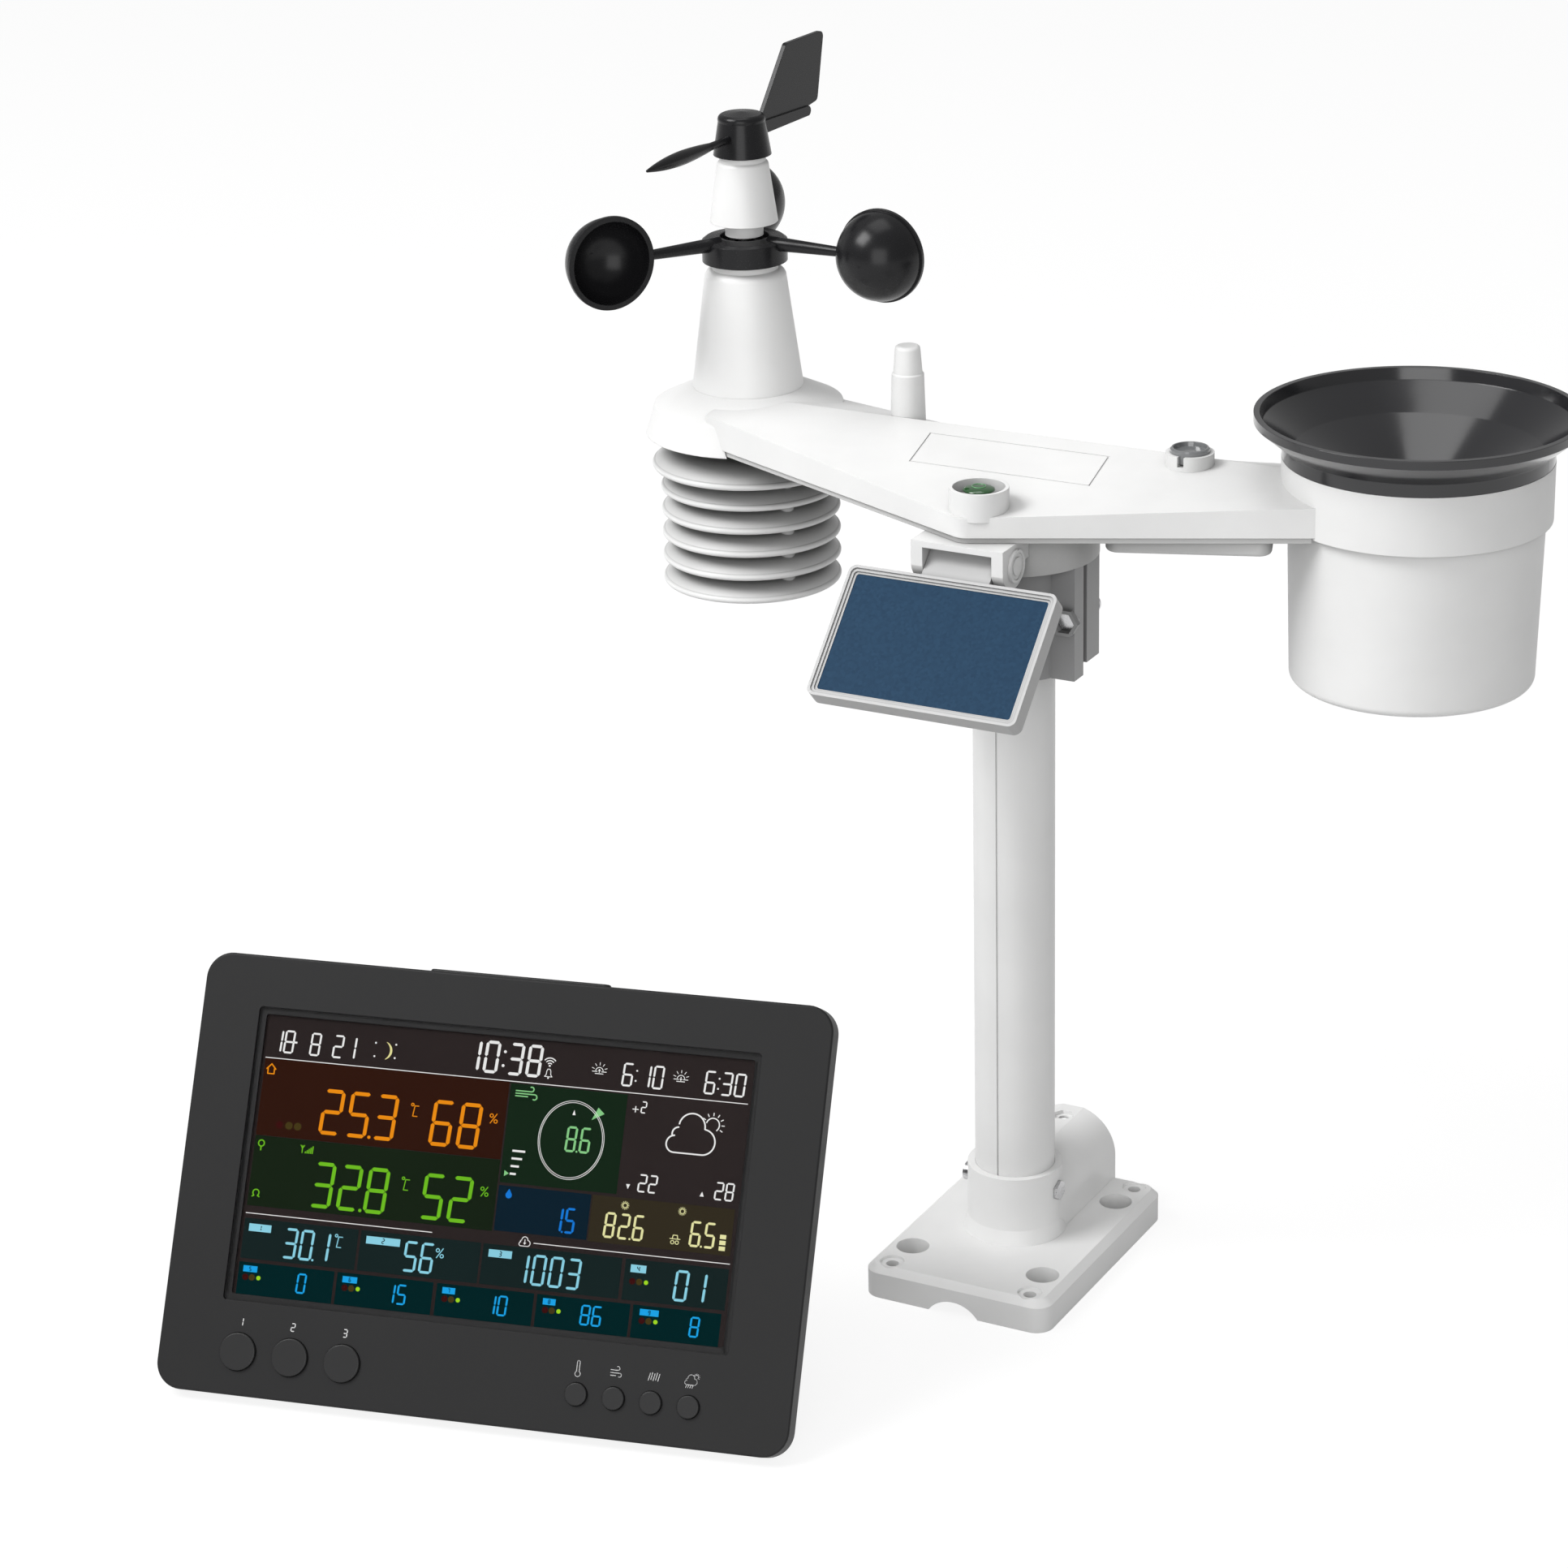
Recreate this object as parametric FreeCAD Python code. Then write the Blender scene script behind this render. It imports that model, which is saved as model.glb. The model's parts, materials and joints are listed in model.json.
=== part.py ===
import FreeCAD, Part

import math
import os

# Home weather station: an outdoor sensor set on a short pole and base, with a desk console beside it.
# Units are millimetres. Z is up, the long side of the base plate runs along Y, and the origin lies
# on the ground under the middle of the pole.

V = FreeCAD.Vector
X_AXIS = V(1, 0, 0)
Y_AXIS = V(0, 1, 0)
Z_AXIS = V(0, 0, 1)

# Shared fits and walls
FIT = 0.05            # radial running fit of a pin or shaft in its bore
SLIP = 0.3            # gap round a part that is pushed in or lifted out
WALL = 2.2            # wall of the moulded outdoor cases
JOIN = 0.5            # how far fused features sink into what carries them

# Base plate and pole
PLATE_X = 78.0
PLATE_Y = 112.0
PLATE_H = 13.2
PLATE_R = 7.0
PLATE_CHAMFER = 2.8
BIG_HOLE_X = 27.75
BIG_HOLE_Y = 34.25
BIG_HOLE_R = 6.4
SCREW_HOLE_X = 29.25
SCREW_HOLE_Y = 49.0
SCREW_HOLE_R = 2.45
SCREW_SEAT_R = 4.7
SCREW_SEAT_DEEP = 1.0
GROOVE_W = 20.8
GROOVE_H = 5.3
POLE_R = 15.5
POLE_WALL = 2.2
POLE_TOP = 303.0
POLE_LINE_W = 0.6
POLE_LINE_DEEP = 0.4
SOCKET_R = 18.5
SOCKET_TOP = 41.2
SOCKET_FLOOR = 9.0
SOCKET_FLARE = 1.6
SOCKET_FLARE_H = 6.0
WALL_SOCKET_FROM = 21.0
WALL_SOCKET_TO = 54.5
WALL_NUT_Y = 45.3
HUMP_FLAT = 4.5
BOLT_Z = 32.0
BOLT_R = 2.0
NUT_AF = 7.0
NUT_H = 2.6
NUT_POCKET = 1.4

# Clamp under the arm
BOSS_R = 31.9
BOSS_BOTTOM = 291.8
CLAMP_R = 23.4
CLAMP_BOTTOM = 248.2
CLAMP_GAP = 3.0
CLAMP_Y = -2.0
FLANGE_X = 30.0
FLANGE_T = 8.0
REAR_T = 11.0
CLAMP_SCREW_X = 26.4
CLAMP_SCREW_Z = 271.0
CLAMP_SCREW_R = 1.75
CLAMP_HEAD_R = 3.8
CLAMP_HEAD_H = 2.6

# Arm case, split at the parting plane
PART_Z = 310.0
REACH = 137.9         # from the pole to the wind tower axis and to the rain gauge axis
END_Y = 50.5          # how far back both of those axes lie
FRONT_TIP = -45.8
FRONT_SLOPE = math.tan(math.radians(24.2))
REAR_TIP = 46.0
REAR_SLOPE = math.tan(math.radians(14.3))
TIP_R = 6.5
TOP_AT_TIP = 7.4      # height of the top face over the parting plane at the front tip
TOP_SLOPE = 0.075
BACK_EDGE_Y = 39.0
REAR_WALL_H = 6.2
LOWER_INSET = 0.9
LOWER_T = 2.2
LIP_H = 2.0
ROOF_R = 40.3
ROOF_DROP = 2.9
ROOF_SKIRT_R = 36.9
ROOF_SKIRT_Z = 8.2
TOWER_R = 21.6
TOWER_Z = 15.4
COLLAR_R = 49.3
COLLAR_TOP = 21.0
COLLAR_WALL = 2.4
LABEL = ((-42.3, -1.0), (31.1, -0.8), (26.0, 28.5), (-47.8, 28.1))
LABEL_LINE = 0.6
LABEL_DEEP = 0.35

# Bubble level, light sensor and aerial on the arm
LEVEL_X = 2.2
LEVEL_Y = -33.6
LEVEL_R = 11.0
LEVEL_BORE_R = 9.6
LEVEL_TOP = 16.4
LEVEL_FLOOR = 11.0
VIAL_R = 4.7
VIAL_H = 3.6
LIGHT_X = 56.7
LIGHT_Y = 31.4
LIGHT_R = 9.0
LIGHT_BORE_R = 7.4
LIGHT_RING_TOP = 17.9
LIGHT_TOP = 19.7
AERIAL_X = -66.0
AERIAL_Y = 46.0
AERIAL_H = 40.3
AERIAL_STEP = 10.5
AERIAL_FOOT_R = 7.0
AERIAL_TIP_R = 4.9

# Wind tower, cup rotor and vane, stacked on one steel post
TOWER_TOP_R = 15.9
TOWER_SHOULDER_Z = 368.5
NECK_R = 12.9
NECK_Z = 374.4
POST_R = 2.5
POST_TOP = 427.0
BEARING_R = 5.5
BEARING_H = 4.0
ROTOR_BEARING_Z = 376.0
VANE_BEARING_Z = 418.5
BAND_R = 16.5
BAND_BOTTOM = 375.0
BAND_TOP = 383.0
BAND_WALL = 1.8
ROTOR_MOUTH_R = 9.5
ROTOR_CREST = 384.6
CUP_COUNT = 3
CUP_ORBIT = 59.1
CUP_Z = 382.8
CUP_ANGLE = -122.4
CUP_R = 17.4
CUP_WALL = 1.3
CUP_BACKSET = 2.2
ARM_ROOT_R = 2.9
ARM_END_R = 1.9
SPACER_BOTTOM = 390.4
SPACER_R = 13.1
SPACER_TOP_R = 10.0
SPACER_SHOULDER_Z = 412.4
SPACER_TOP = 415.9
HUB_BOTTOM = 416.5
HUB_R = 11.2
HUB_TOP_R = 9.1
HUB_SHOULDER_Z = 429.4
HUB_TOP = 433.0
VANE_ANGLE = 86.0
VANE_Z = 423.9
TAIL_REACH = 46.0
FIN = ((12.6, 427.9), (31.8, 452.9), (59.1, 453.0), (53.6, 426.6), (46.0, 425.4), (14.0, 425.9))
FIN_T = 1.8
POINTER_REACH = 65.3
POINTER_R = 2.75

# Louvred shield under the wind tower
LOUVRE_COUNT = 6
LOUVRE_TOP_Z = 293.4
LOUVRE_PITCH = 9.4
LOUVRE_R = 35.1
LOUVRE_TOP_R = 38.2
LOUVRE_BORE_R = 20.0
LOUVRE_T = 1.9
LOUVRE_RISE = 7.4
ROD_COUNT = 3
ROD_ORBIT = 25.5
ROD_R = 1.4
ROD_BOSS_R = 3.4

# Rain gauge
BUCKET_TOP_R = 46.7
BUCKET_BOTTOM_R = 45.0
BUCKET_BOTTOM = 246.2
BUCKET_WALL = 2.0
RIM_R = 59.6
RIM_TOP = 347.6
RIM_BAND = 3.2
FUNNEL_RING_R = 49.2
FUNNEL_RING_TOP = 335.8
FUNNEL_T = 2.0
SPOUT_R = 4.2
SPOUT_BOTTOM = 302.0
TIPPER_Z = 274.0
TIPPER_HALF = 24.0
TIPPER_W = 17.0
TIPPER_T = 1.2
TIPPER_RISE = 7.0
TIPPER_DIVIDER = 15.0
TIPPER_REST = 14.0
TIPPER_PIN_R = 1.5
CRADLE_T = 3.0

# Solar panel and its hinge
HINGE_Y = -37.7
HINGE_Z = 299.6
HINGE_PIN_R = 2.5
YOKE_HALF = 18.4
YOKE_EAR_T = 4.6
YOKE_FRONT = -47.8
YOKE_TOP = 307.7
YOKE_WEB = 2.4
YOKE_EAR_R = 8.3
PANEL_TILT = 45.0
PANEL_W = 83.1
PANEL_H = 53.1
PANEL_T = 7.2
PANEL_R = 3.0
CELL_W = 76.7
CELL_H = 47.1
CELL_RECESS = 2.0
CELL_T = 0.6
LIP_W = 1.1
LIP_STEP = 0.6
PANEL_DROP = 38.0     # from the hinge axis to the middle of the panel, along the panel
PANEL_FORE = 6.4      # from the hinge axis to the front of the frame
BARREL_R = 4.9

# Screws that close the arm case from below
CASE_SCREWS = ((-92.0, 22.0), (-60.0, 52.0), (26.0, -26.0), (30.0, 44.0))
CASE_SCREW_R = 1.4
CASE_SCREW_L = 6.0
CASE_HEAD_R = 2.8
CASE_HEAD_H = 1.2
CROSS_W = 0.6

# Circuit board in the arm: each chip is its corner on the board, width, depth and height
BOARD_T = 1.6
BOARD_FOOT_R = 2.2
BOARD_FOOT_H = 0.4
MAIN_BOARD_CORNER = (-52.0, -16.0)
MAIN_BOARD_W = 78.0
MAIN_BOARD_D = 42.0
MAIN_BOARD_CHIPS = ((12.0, 16.0, 20.0, 14.0, 2.8), (42.0, 8.0, 16.0, 14.0, 2.0))

# Batteries in the right arm
BATTERY_COUNT = 3
BATTERY_R = 7.1
BATTERY_L = 50.5
BATTERY_ANGLE = 19.4
BAY_TO_GAUGE = 93.2     # from the corner of the battery bay to the rain gauge axis, along the arm
BATTERY_CORNER = (REACH - BAY_TO_GAUGE, -18.0)
DOOR_L = 60.0
DOOR_W = 49.0
DOOR_T = 1.4
DOOR_BOTTOM = 302.0
DOOR_R = 5.0

# Desk console
CONSOLE_X = -121.2
CONSOLE_Y = -215.1
CONSOLE_TURN = 13.0
RECLINE = 30.0
FACE_W = 244.0
FACE_H = 164.0
FACE_R = 10.0
FACE_T = 9.0
FACE_WALL = 2.4
BEZEL_SIDE = 24.25
BEZEL_ABOVE = 19.2
BEZEL_BELOW = 34.8
WINDOW_W = FACE_W - 2 * BEZEL_SIDE
WINDOW_H = FACE_H - BEZEL_ABOVE - BEZEL_BELOW
WINDOW_X = -1.3
WINDOW_Z = BEZEL_BELOW + WINDOW_H / 2
WINDOW_T = 1.1
WINDOW_SINK = 0.3
LEDGE = 2.6
LCD_T = 2.6
BACK_W = 204.0
BACK_H = 122.0
BACK_R = 14.0
BACK_Z = 76.0
BACK_DEPTH = 27.0
BACK_WALL = 2.2
ROUND_KEYS = (-90.5, -70.0, -49.5)
ROUND_KEY_Z = 16.2
ROUND_KEY_R = 7.0
SMALL_KEYS = (41.2, 55.4, 69.5, 83.7)
SMALL_KEY_Z = 14.9
SMALL_KEY_R = 4.2
KEY_GAP = 0.15
KEY_PROUD = 1.2
KEY_TRAVEL = 0.8
SNOOZE_W = 70.0
SNOOZE_D = 5.0
SNOOZE_PROUD = 1.0
LEG_W = 176.0
LEG_T = 3.6
LEG_HINGE_Z = 66.0
LEG_HINGE_R = 3.0
LEG_PIN_R = 1.5
JACK_X = 78.0
JACK_Z = 44.0
JACK_R = 2.9
CELL_DOOR_W = 34.0
CELL_DOOR_H = 30.0
CELL_DOOR_X = -50.0
CELL_DOOR_Z = 108.0
CONSOLE_BOARD_EDGE = 1.75
CONSOLE_BOARD_DROP = 4.8
CONSOLE_BOARD_FOOT = 8.0
CONSOLE_BOARD_CHIPS = ((-30.0, 60.0, 20.0, 20.0, 2.0), (20.0, 40.0, 30.0, 16.0, 1.4))
COIN_R = 10.0
COIN_T = 3.2


def box(x0, x1, y0, y1, z0, z1):
    return Part.makeBox(x1 - x0, y1 - y0, z1 - z0, V(x0, y0, z0))


def cylinder(radius, height, at, axis=Z_AXIS):
    return Part.makeCylinder(radius, height, V(*at), axis)


def cone(radius_1, radius_2, height, at, axis=Z_AXIS):
    return Part.makeCone(radius_1, radius_2, height, V(*at), axis)


def fuse(shapes):
    body = shapes[0].fuse(shapes[1:]) if len(shapes) > 1 else shapes[0]
    return body.removeSplitter()


def group(shapes):
    return Part.makeCompound(shapes)


def face_of(outline, place):
    """Face from (u, v) corners; (u, v, mu, mv) is an arc through (mu, mv). place maps (u, v) to space."""
    edges = []
    start = outline[-1]
    for point in outline:
        first = place(start[0], start[1])
        last = place(point[0], point[1])
        if len(point) == 4:
            edges.append(Part.Arc(first, place(point[2], point[3]), last).toShape())
        elif first.distanceToPoint(last) > 1e-6:
            edges.append(Part.makeLine(first, last))
        start = point
    return Part.Face(Part.Wire(edges))


def prism_z(outline, z0, z1):
    face = face_of(outline, lambda u, v: V(u, v, z0))
    return face.extrude(V(0, 0, z1 - z0))


def prism_x(outline, x0, x1):
    face = face_of(outline, lambda u, v: V(x0, u, v))
    return face.extrude(V(x1 - x0, 0, 0))


def prism_y(outline, y0, y1):
    face = face_of(outline, lambda u, v: V(u, y0, v))
    return face.extrude(V(0, y1 - y0, 0))


def turned(outline, x=0.0, y=0.0):
    """Solid of revolution about a vertical axis from an (r, z) outline."""
    face = face_of(outline, lambda u, v: V(x + u, y, v))
    return face.revolve(V(x, y, 0), Z_AXIS, 360)


def rounded_outline(width, height, radius, cx=0.0, cy=0.0):
    """Rectangle with rounded corners, as an outline for face_of."""
    a = width / 2
    b = height / 2
    k = radius * (1 - math.sqrt(0.5))
    return [(cx + a - radius, cy - b), (cx + a, cy - b + radius, cx + a - k, cy - b + k),
            (cx + a, cy + b - radius), (cx + a - radius, cy + b, cx + a - k, cy + b - k),
            (cx - a + radius, cy + b), (cx - a, cy + b - radius, cx - a + k, cy + b - k),
            (cx - a, cy - b + radius), (cx - a + radius, cy - b, cx - a + k, cy - b + k)]


def edges_at_height(solid, z):
    return [e for e in solid.Edges if all(abs(v.Point.z - z) < 1e-4 for v in e.Vertexes)]


def hexagon(across_flats, depth, at, axis):
    """Hexagonal prism for nuts and nut pockets."""
    radius = across_flats / math.sqrt(3)
    points = [V(radius * math.cos(math.radians(60 * i)), radius * math.sin(math.radians(60 * i)), 0)
              for i in range(6)]
    prism = Part.Face(Part.makePolygon(points + points[:1])).extrude(V(0, 0, depth))
    prism.Placement = FreeCAD.Placement(V(*at), FreeCAD.Rotation(Z_AXIS, axis))
    return prism


def turned_about(shape, x, y, degrees):
    copy = shape.copy()
    copy.rotate(V(x, y, 0), Z_AXIS, degrees)
    return copy


# Base plate and pole

def base_plate():
    plate = prism_z(rounded_outline(PLATE_X, PLATE_Y, PLATE_R), 0, PLATE_H)
    plate = plate.makeChamfer(PLATE_CHAMFER, edges_at_height(plate, PLATE_H))
    socket = cylinder(SOCKET_R, SOCKET_TOP - PLATE_H + JOIN, (0, 0, PLATE_H - JOIN))
    flare = cone(SOCKET_R + SOCKET_FLARE, SOCKET_R, SOCKET_FLARE_H, (0, 0, PLATE_H))
    hump_z = SOCKET_TOP - SOCKET_R
    flat_z = hump_z + math.sqrt(SOCKET_R ** 2 - HUMP_FLAT ** 2)
    diagonal = SOCKET_R * math.sqrt(0.5)
    hump = prism_y([(SOCKET_R, PLATE_H - JOIN), (SOCKET_R, hump_z),
                    (HUMP_FLAT, flat_z, diagonal, hump_z + diagonal), (-HUMP_FLAT, flat_z),
                    (-SOCKET_R, hump_z, -diagonal, hump_z + diagonal), (-SOCKET_R, PLATE_H - JOIN)],
                   0, WALL_SOCKET_TO)
    body = fuse([plate, socket, flare, hump])
    groove_r = (GROOVE_W ** 2 / 4 + GROOVE_H ** 2) / (2 * GROOVE_H)
    cuts = [cylinder(POLE_R + FIT, SOCKET_TOP, (0, 0, SOCKET_FLOOR)),
            cylinder(POLE_R + FIT, WALL_SOCKET_TO, (0, WALL_SOCKET_FROM, hump_z), Y_AXIS),
            cylinder(groove_r, PLATE_Y, (0, -PLATE_Y / 2, GROOVE_H - groove_r), Y_AXIS),
            cylinder(BOLT_R + FIT, 4 * SOCKET_R, (-2 * SOCKET_R, 0, BOLT_Z), X_AXIS),
            hexagon(NUT_AF + SLIP, SOCKET_R, (SOCKET_R - NUT_POCKET, 0, BOLT_Z), X_AXIS),
            cylinder(BOLT_R + FIT, SOCKET_R, (0, WALL_NUT_Y, hump_z), Z_AXIS),
            hexagon(NUT_AF + SLIP, SOCKET_R, (0, WALL_NUT_Y, flat_z - NUT_POCKET), Z_AXIS)]
    for sx in (-1, 1):
        for sy in (-1, 1):
            cuts.append(cylinder(BIG_HOLE_R, PLATE_H, (sx * BIG_HOLE_X, sy * BIG_HOLE_Y, 0)))
            at = (sx * SCREW_HOLE_X, sy * SCREW_HOLE_Y)
            cuts.append(cylinder(SCREW_HOLE_R, PLATE_H, at + (0,)))
            cuts.append(cylinder(SCREW_SEAT_R, PLATE_H, at + (PLATE_H - SCREW_SEAT_DEEP,)))
    return body.cut(cuts)


def pole():
    tube = cylinder(POLE_R, POLE_TOP - SOCKET_FLOOR, (0, 0, SOCKET_FLOOR))
    bore = cylinder(POLE_R - POLE_WALL, POLE_TOP, (0, 0, 0))
    line = box(-POLE_LINE_W / 2, POLE_LINE_W / 2, -POLE_R - 1, -POLE_R + POLE_LINE_DEEP,
               SOCKET_FLOOR, POLE_TOP)
    bolt = cylinder(BOLT_R + FIT, 4 * POLE_R, (-2 * POLE_R, 0, BOLT_Z), X_AXIS)
    return tube.cut([bore, line, bolt])


def pole_bolt():
    nut_at = SOCKET_R - NUT_POCKET
    shank = cylinder(BOLT_R, SOCKET_R + nut_at + NUT_H, (-SOCKET_R, 0, BOLT_Z), X_AXIS)
    head = cylinder(BOLT_R * 1.8, NUT_H, (-SOCKET_R - NUT_H, 0, BOLT_Z), X_AXIS)
    hexkey = hexagon(BOLT_R * 1.5, NUT_H / 2, (-SOCKET_R - NUT_H, 0, BOLT_Z), X_AXIS)
    nut = hexagon(NUT_AF, NUT_H, (nut_at, 0, BOLT_Z), X_AXIS)
    return fuse([shank, head.cut(hexkey), nut])


# Clamp that holds the arm on the pole

def clamp_block(outer):
    return outer.cut([cylinder(POLE_R + FIT, BOSS_BOTTOM, (0, 0, CLAMP_BOTTOM - 1))])


def clamp_front():
    height = BOSS_BOTTOM - CLAMP_BOTTOM
    shell = cylinder(CLAMP_R, height, (0, 0, CLAMP_BOTTOM))
    y1 = CLAMP_Y - CLAMP_GAP / 2
    flange = box(-FLANGE_X, FLANGE_X, y1 - FLANGE_T, y1, CLAMP_BOTTOM, BOSS_BOTTOM)
    block = fuse([shell, flange]).common(box(-50, 50, -50, y1, CLAMP_BOTTOM, BOSS_BOTTOM))
    cuts = []
    for side in (-1, 1):
        at_x = side * CLAMP_SCREW_X
        pocket = hexagon(NUT_AF + SLIP, FLANGE_T, (at_x, y1 - 3 * FLANGE_T / 2, CLAMP_SCREW_Z), Y_AXIS)
        rim = hexagon(NUT_AF + 3, 2.0 + JOIN, (at_x, y1 - FLANGE_T - 2.0, CLAMP_SCREW_Z), Y_AXIS)
        block = fuse([block, rim])
        cuts.append(pocket)
        cuts.append(cylinder(CLAMP_SCREW_R + FIT, 60, (at_x, -40, CLAMP_SCREW_Z), Y_AXIS))
    return clamp_block(block.cut(cuts))


def clamp_rear():
    y0 = CLAMP_Y + CLAMP_GAP / 2
    shell = cylinder(CLAMP_R, BOSS_BOTTOM - CLAMP_BOTTOM, (0, 0, CLAMP_BOTTOM))
    flange = box(-FLANGE_X, FLANGE_X, y0, y0 + REAR_T, CLAMP_BOTTOM + 4, BOSS_BOTTOM)
    block = fuse([shell, flange]).common(box(-50, 50, y0, 50, CLAMP_BOTTOM, BOSS_BOTTOM))
    holes = [cylinder(CLAMP_SCREW_R + FIT, 60, (side * CLAMP_SCREW_X, -20, CLAMP_SCREW_Z), Y_AXIS)
             for side in (-1, 1)]
    return clamp_block(block.cut(holes))


def clamp_screws():
    back = CLAMP_Y + CLAMP_GAP / 2 + REAR_T
    nut_y = CLAMP_Y - CLAMP_GAP / 2 - FLANGE_T / 2 - NUT_H
    screws = []
    for side in (-1, 1):
        at_x = side * CLAMP_SCREW_X
        shank = cylinder(CLAMP_SCREW_R, back - nut_y, (at_x, nut_y, CLAMP_SCREW_Z), Y_AXIS)
        head = cylinder(CLAMP_HEAD_R, CLAMP_HEAD_H, (at_x, back, CLAMP_SCREW_Z), Y_AXIS)
        head = head.makeFillet(CLAMP_HEAD_H * 0.6, [e for e in head.Edges if len(e.Vertexes) == 1
                                                    and e.Vertexes[0].Point.y > back + CLAMP_HEAD_H / 2])
        slot = hexagon(3.0, 1.4, (at_x, back + CLAMP_HEAD_H - 1.4, CLAMP_SCREW_Z), Y_AXIS)
        nut = hexagon(NUT_AF, NUT_H, (at_x, nut_y, CLAMP_SCREW_Z), Y_AXIS)
        screws.append(fuse([shank, head.cut(slot), nut]))
    return group(screws)


# Arm case

def top_height(y):
    """Height of the arm's sloping top face at a place y."""
    return PART_Z + TOP_AT_TIP + TOP_SLOPE * (y - FRONT_TIP)


def arm_section(x, inset, top_inset, z0):
    """Closed section of the arm at a place x: front, top, rear slope and rear wall."""
    front = FRONT_TIP + FRONT_SLOPE * abs(x) + inset / math.cos(math.atan(FRONT_SLOPE))
    rear = REAR_TIP + REAR_SLOPE * abs(x) - inset / math.cos(math.atan(REAR_SLOPE))
    back = min(BACK_EDGE_Y, rear - 1)
    points = [V(x, front, z0), V(x, front, top_height(front) - top_inset),
              V(x, back, top_height(back) - top_inset), V(x, rear, PART_Z + REAR_WALL_H - top_inset),
              V(x, rear, z0)]
    return Part.makePolygon(points + points[:1])


def arm_solid(inset=0.0, top_inset=0.0, z0=PART_Z):
    """Both halves of the arm, from the middle out to the two end axes."""
    middle = arm_section(0, inset, top_inset, z0)
    halves = [Part.makeLoft([middle, arm_section(side * REACH, inset, top_inset, z0)], True, True)
              for side in (-1, 1)]
    body = halves[0].fuse(halves[1])
    tip = FRONT_TIP + inset / math.cos(math.atan(FRONT_SLOPE))
    half = TIP_R * math.sin(math.atan(FRONT_SLOPE))
    drop = TIP_R / math.cos(math.atan(FRONT_SLOPE)) - TIP_R * math.cos(math.atan(FRONT_SLOPE))
    nose = box(-half, half, tip - 1, tip + drop, z0 - 1, PART_Z + 40)
    nose = nose.cut(cylinder(TIP_R, 60, (0, tip + TIP_R / math.cos(math.atan(FRONT_SLOPE)), z0 - 2)))
    return body.cut(nose)


def arm_plan(inset, z0, z1):
    """Flat slab with the arm's plan outline."""
    slope = arm_solid(inset, 0, z0)
    return slope.common(box(-400, 400, -200, 200, z0, z1))


def roof_solid(inset=0.0):
    r = inset
    return turned([(0, PART_Z - ROOF_DROP), (ROOF_R - r, PART_Z - ROOF_DROP),
                   (ROOF_SKIRT_R - r, PART_Z + ROOF_SKIRT_Z - r * 0.6),
                   (TOWER_R - r, PART_Z + TOWER_Z - r), (0, PART_Z + TOWER_Z - r)], -REACH, END_Y)


def arm_top_case():
    outer = fuse([arm_solid(), roof_solid()])
    inner = [arm_solid(WALL, WALL, PART_Z - 1), roof_solid(WALL).translate(V(0, 0, -JOIN))]
    case = outer.cut(inner + [arm_plan(LOWER_INSET - SLIP, PART_Z - ROOF_DROP - 1, PART_Z)])
    collar = cylinder(COLLAR_R, COLLAR_TOP + 1, (REACH, END_Y, PART_Z - 1))
    mouth = cylinder(COLLAR_R - COLLAR_WALL, 80, (REACH, END_Y, PART_Z - 40))
    case = fuse([case, collar]).cut(mouth)
    level = cylinder(LEVEL_R, LEVEL_TOP, (LEVEL_X, LEVEL_Y, PART_Z + TOP_AT_TIP - 1.5))
    level = level.common(box(-50, 50, -100, 50, PART_Z, PART_Z + LEVEL_TOP))
    light = cylinder(LIGHT_R, LIGHT_RING_TOP - 12, (LIGHT_X, LIGHT_Y, PART_Z + 12))
    notch = box(LIGHT_X - 1.2, LIGHT_X + 1.2, LIGHT_Y - LIGHT_R - 1, LIGHT_Y, PART_Z + 14.2, PART_Z + 30)
    case = fuse([case, level, light.cut(notch)])
    line = LABEL_LINE
    slab = 30.0
    outer_label = prism_z([(x, y) for x, y in LABEL], PART_Z + 5, PART_Z + slab)
    middle = (sum(x for x, y in LABEL) / 4, sum(y for x, y in LABEL) / 4)
    shrink = 1 - 2 * line / (LABEL[3][1] - LABEL[0][1])
    shrink_x = 1 - 2 * line / (LABEL[1][0] - LABEL[0][0])
    inner_label = prism_z([(middle[0] + (x - middle[0]) * shrink_x, middle[1] + (y - middle[1]) * shrink)
                           for x, y in LABEL], PART_Z, PART_Z + slab)
    below = arm_solid(0, LABEL_DEEP, PART_Z - 1)
    tower_seat = cylinder(TOWER_R - WALL - 2, 30, (-REACH, END_Y, PART_Z))
    level_bore = cylinder(LEVEL_BORE_R, 30, (LEVEL_X, LEVEL_Y, PART_Z + LEVEL_FLOOR))
    light_bore = cylinder(LIGHT_BORE_R, 30, (LIGHT_X, LIGHT_Y, PART_Z + LIGHT_RING_TOP - 3.0))
    return case.cut([outer_label.cut(inner_label).cut(below), tower_seat, level_bore, light_bore])


def battery_frame(shape):
    """Move a shape from the battery bay's own axes to its place under the arm."""
    copy = shape.copy()
    copy.rotate(V(0, 0, 0), Z_AXIS, BATTERY_ANGLE)
    copy.translate(V(BATTERY_CORNER[0], BATTERY_CORNER[1], 0))
    return copy


def door_outline(inset):
    return rounded_outline(DOOR_L - 2 * inset, DOOR_W - 2 * inset, DOOR_R - inset, DOOR_L / 2, DOOR_W / 2)


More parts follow.
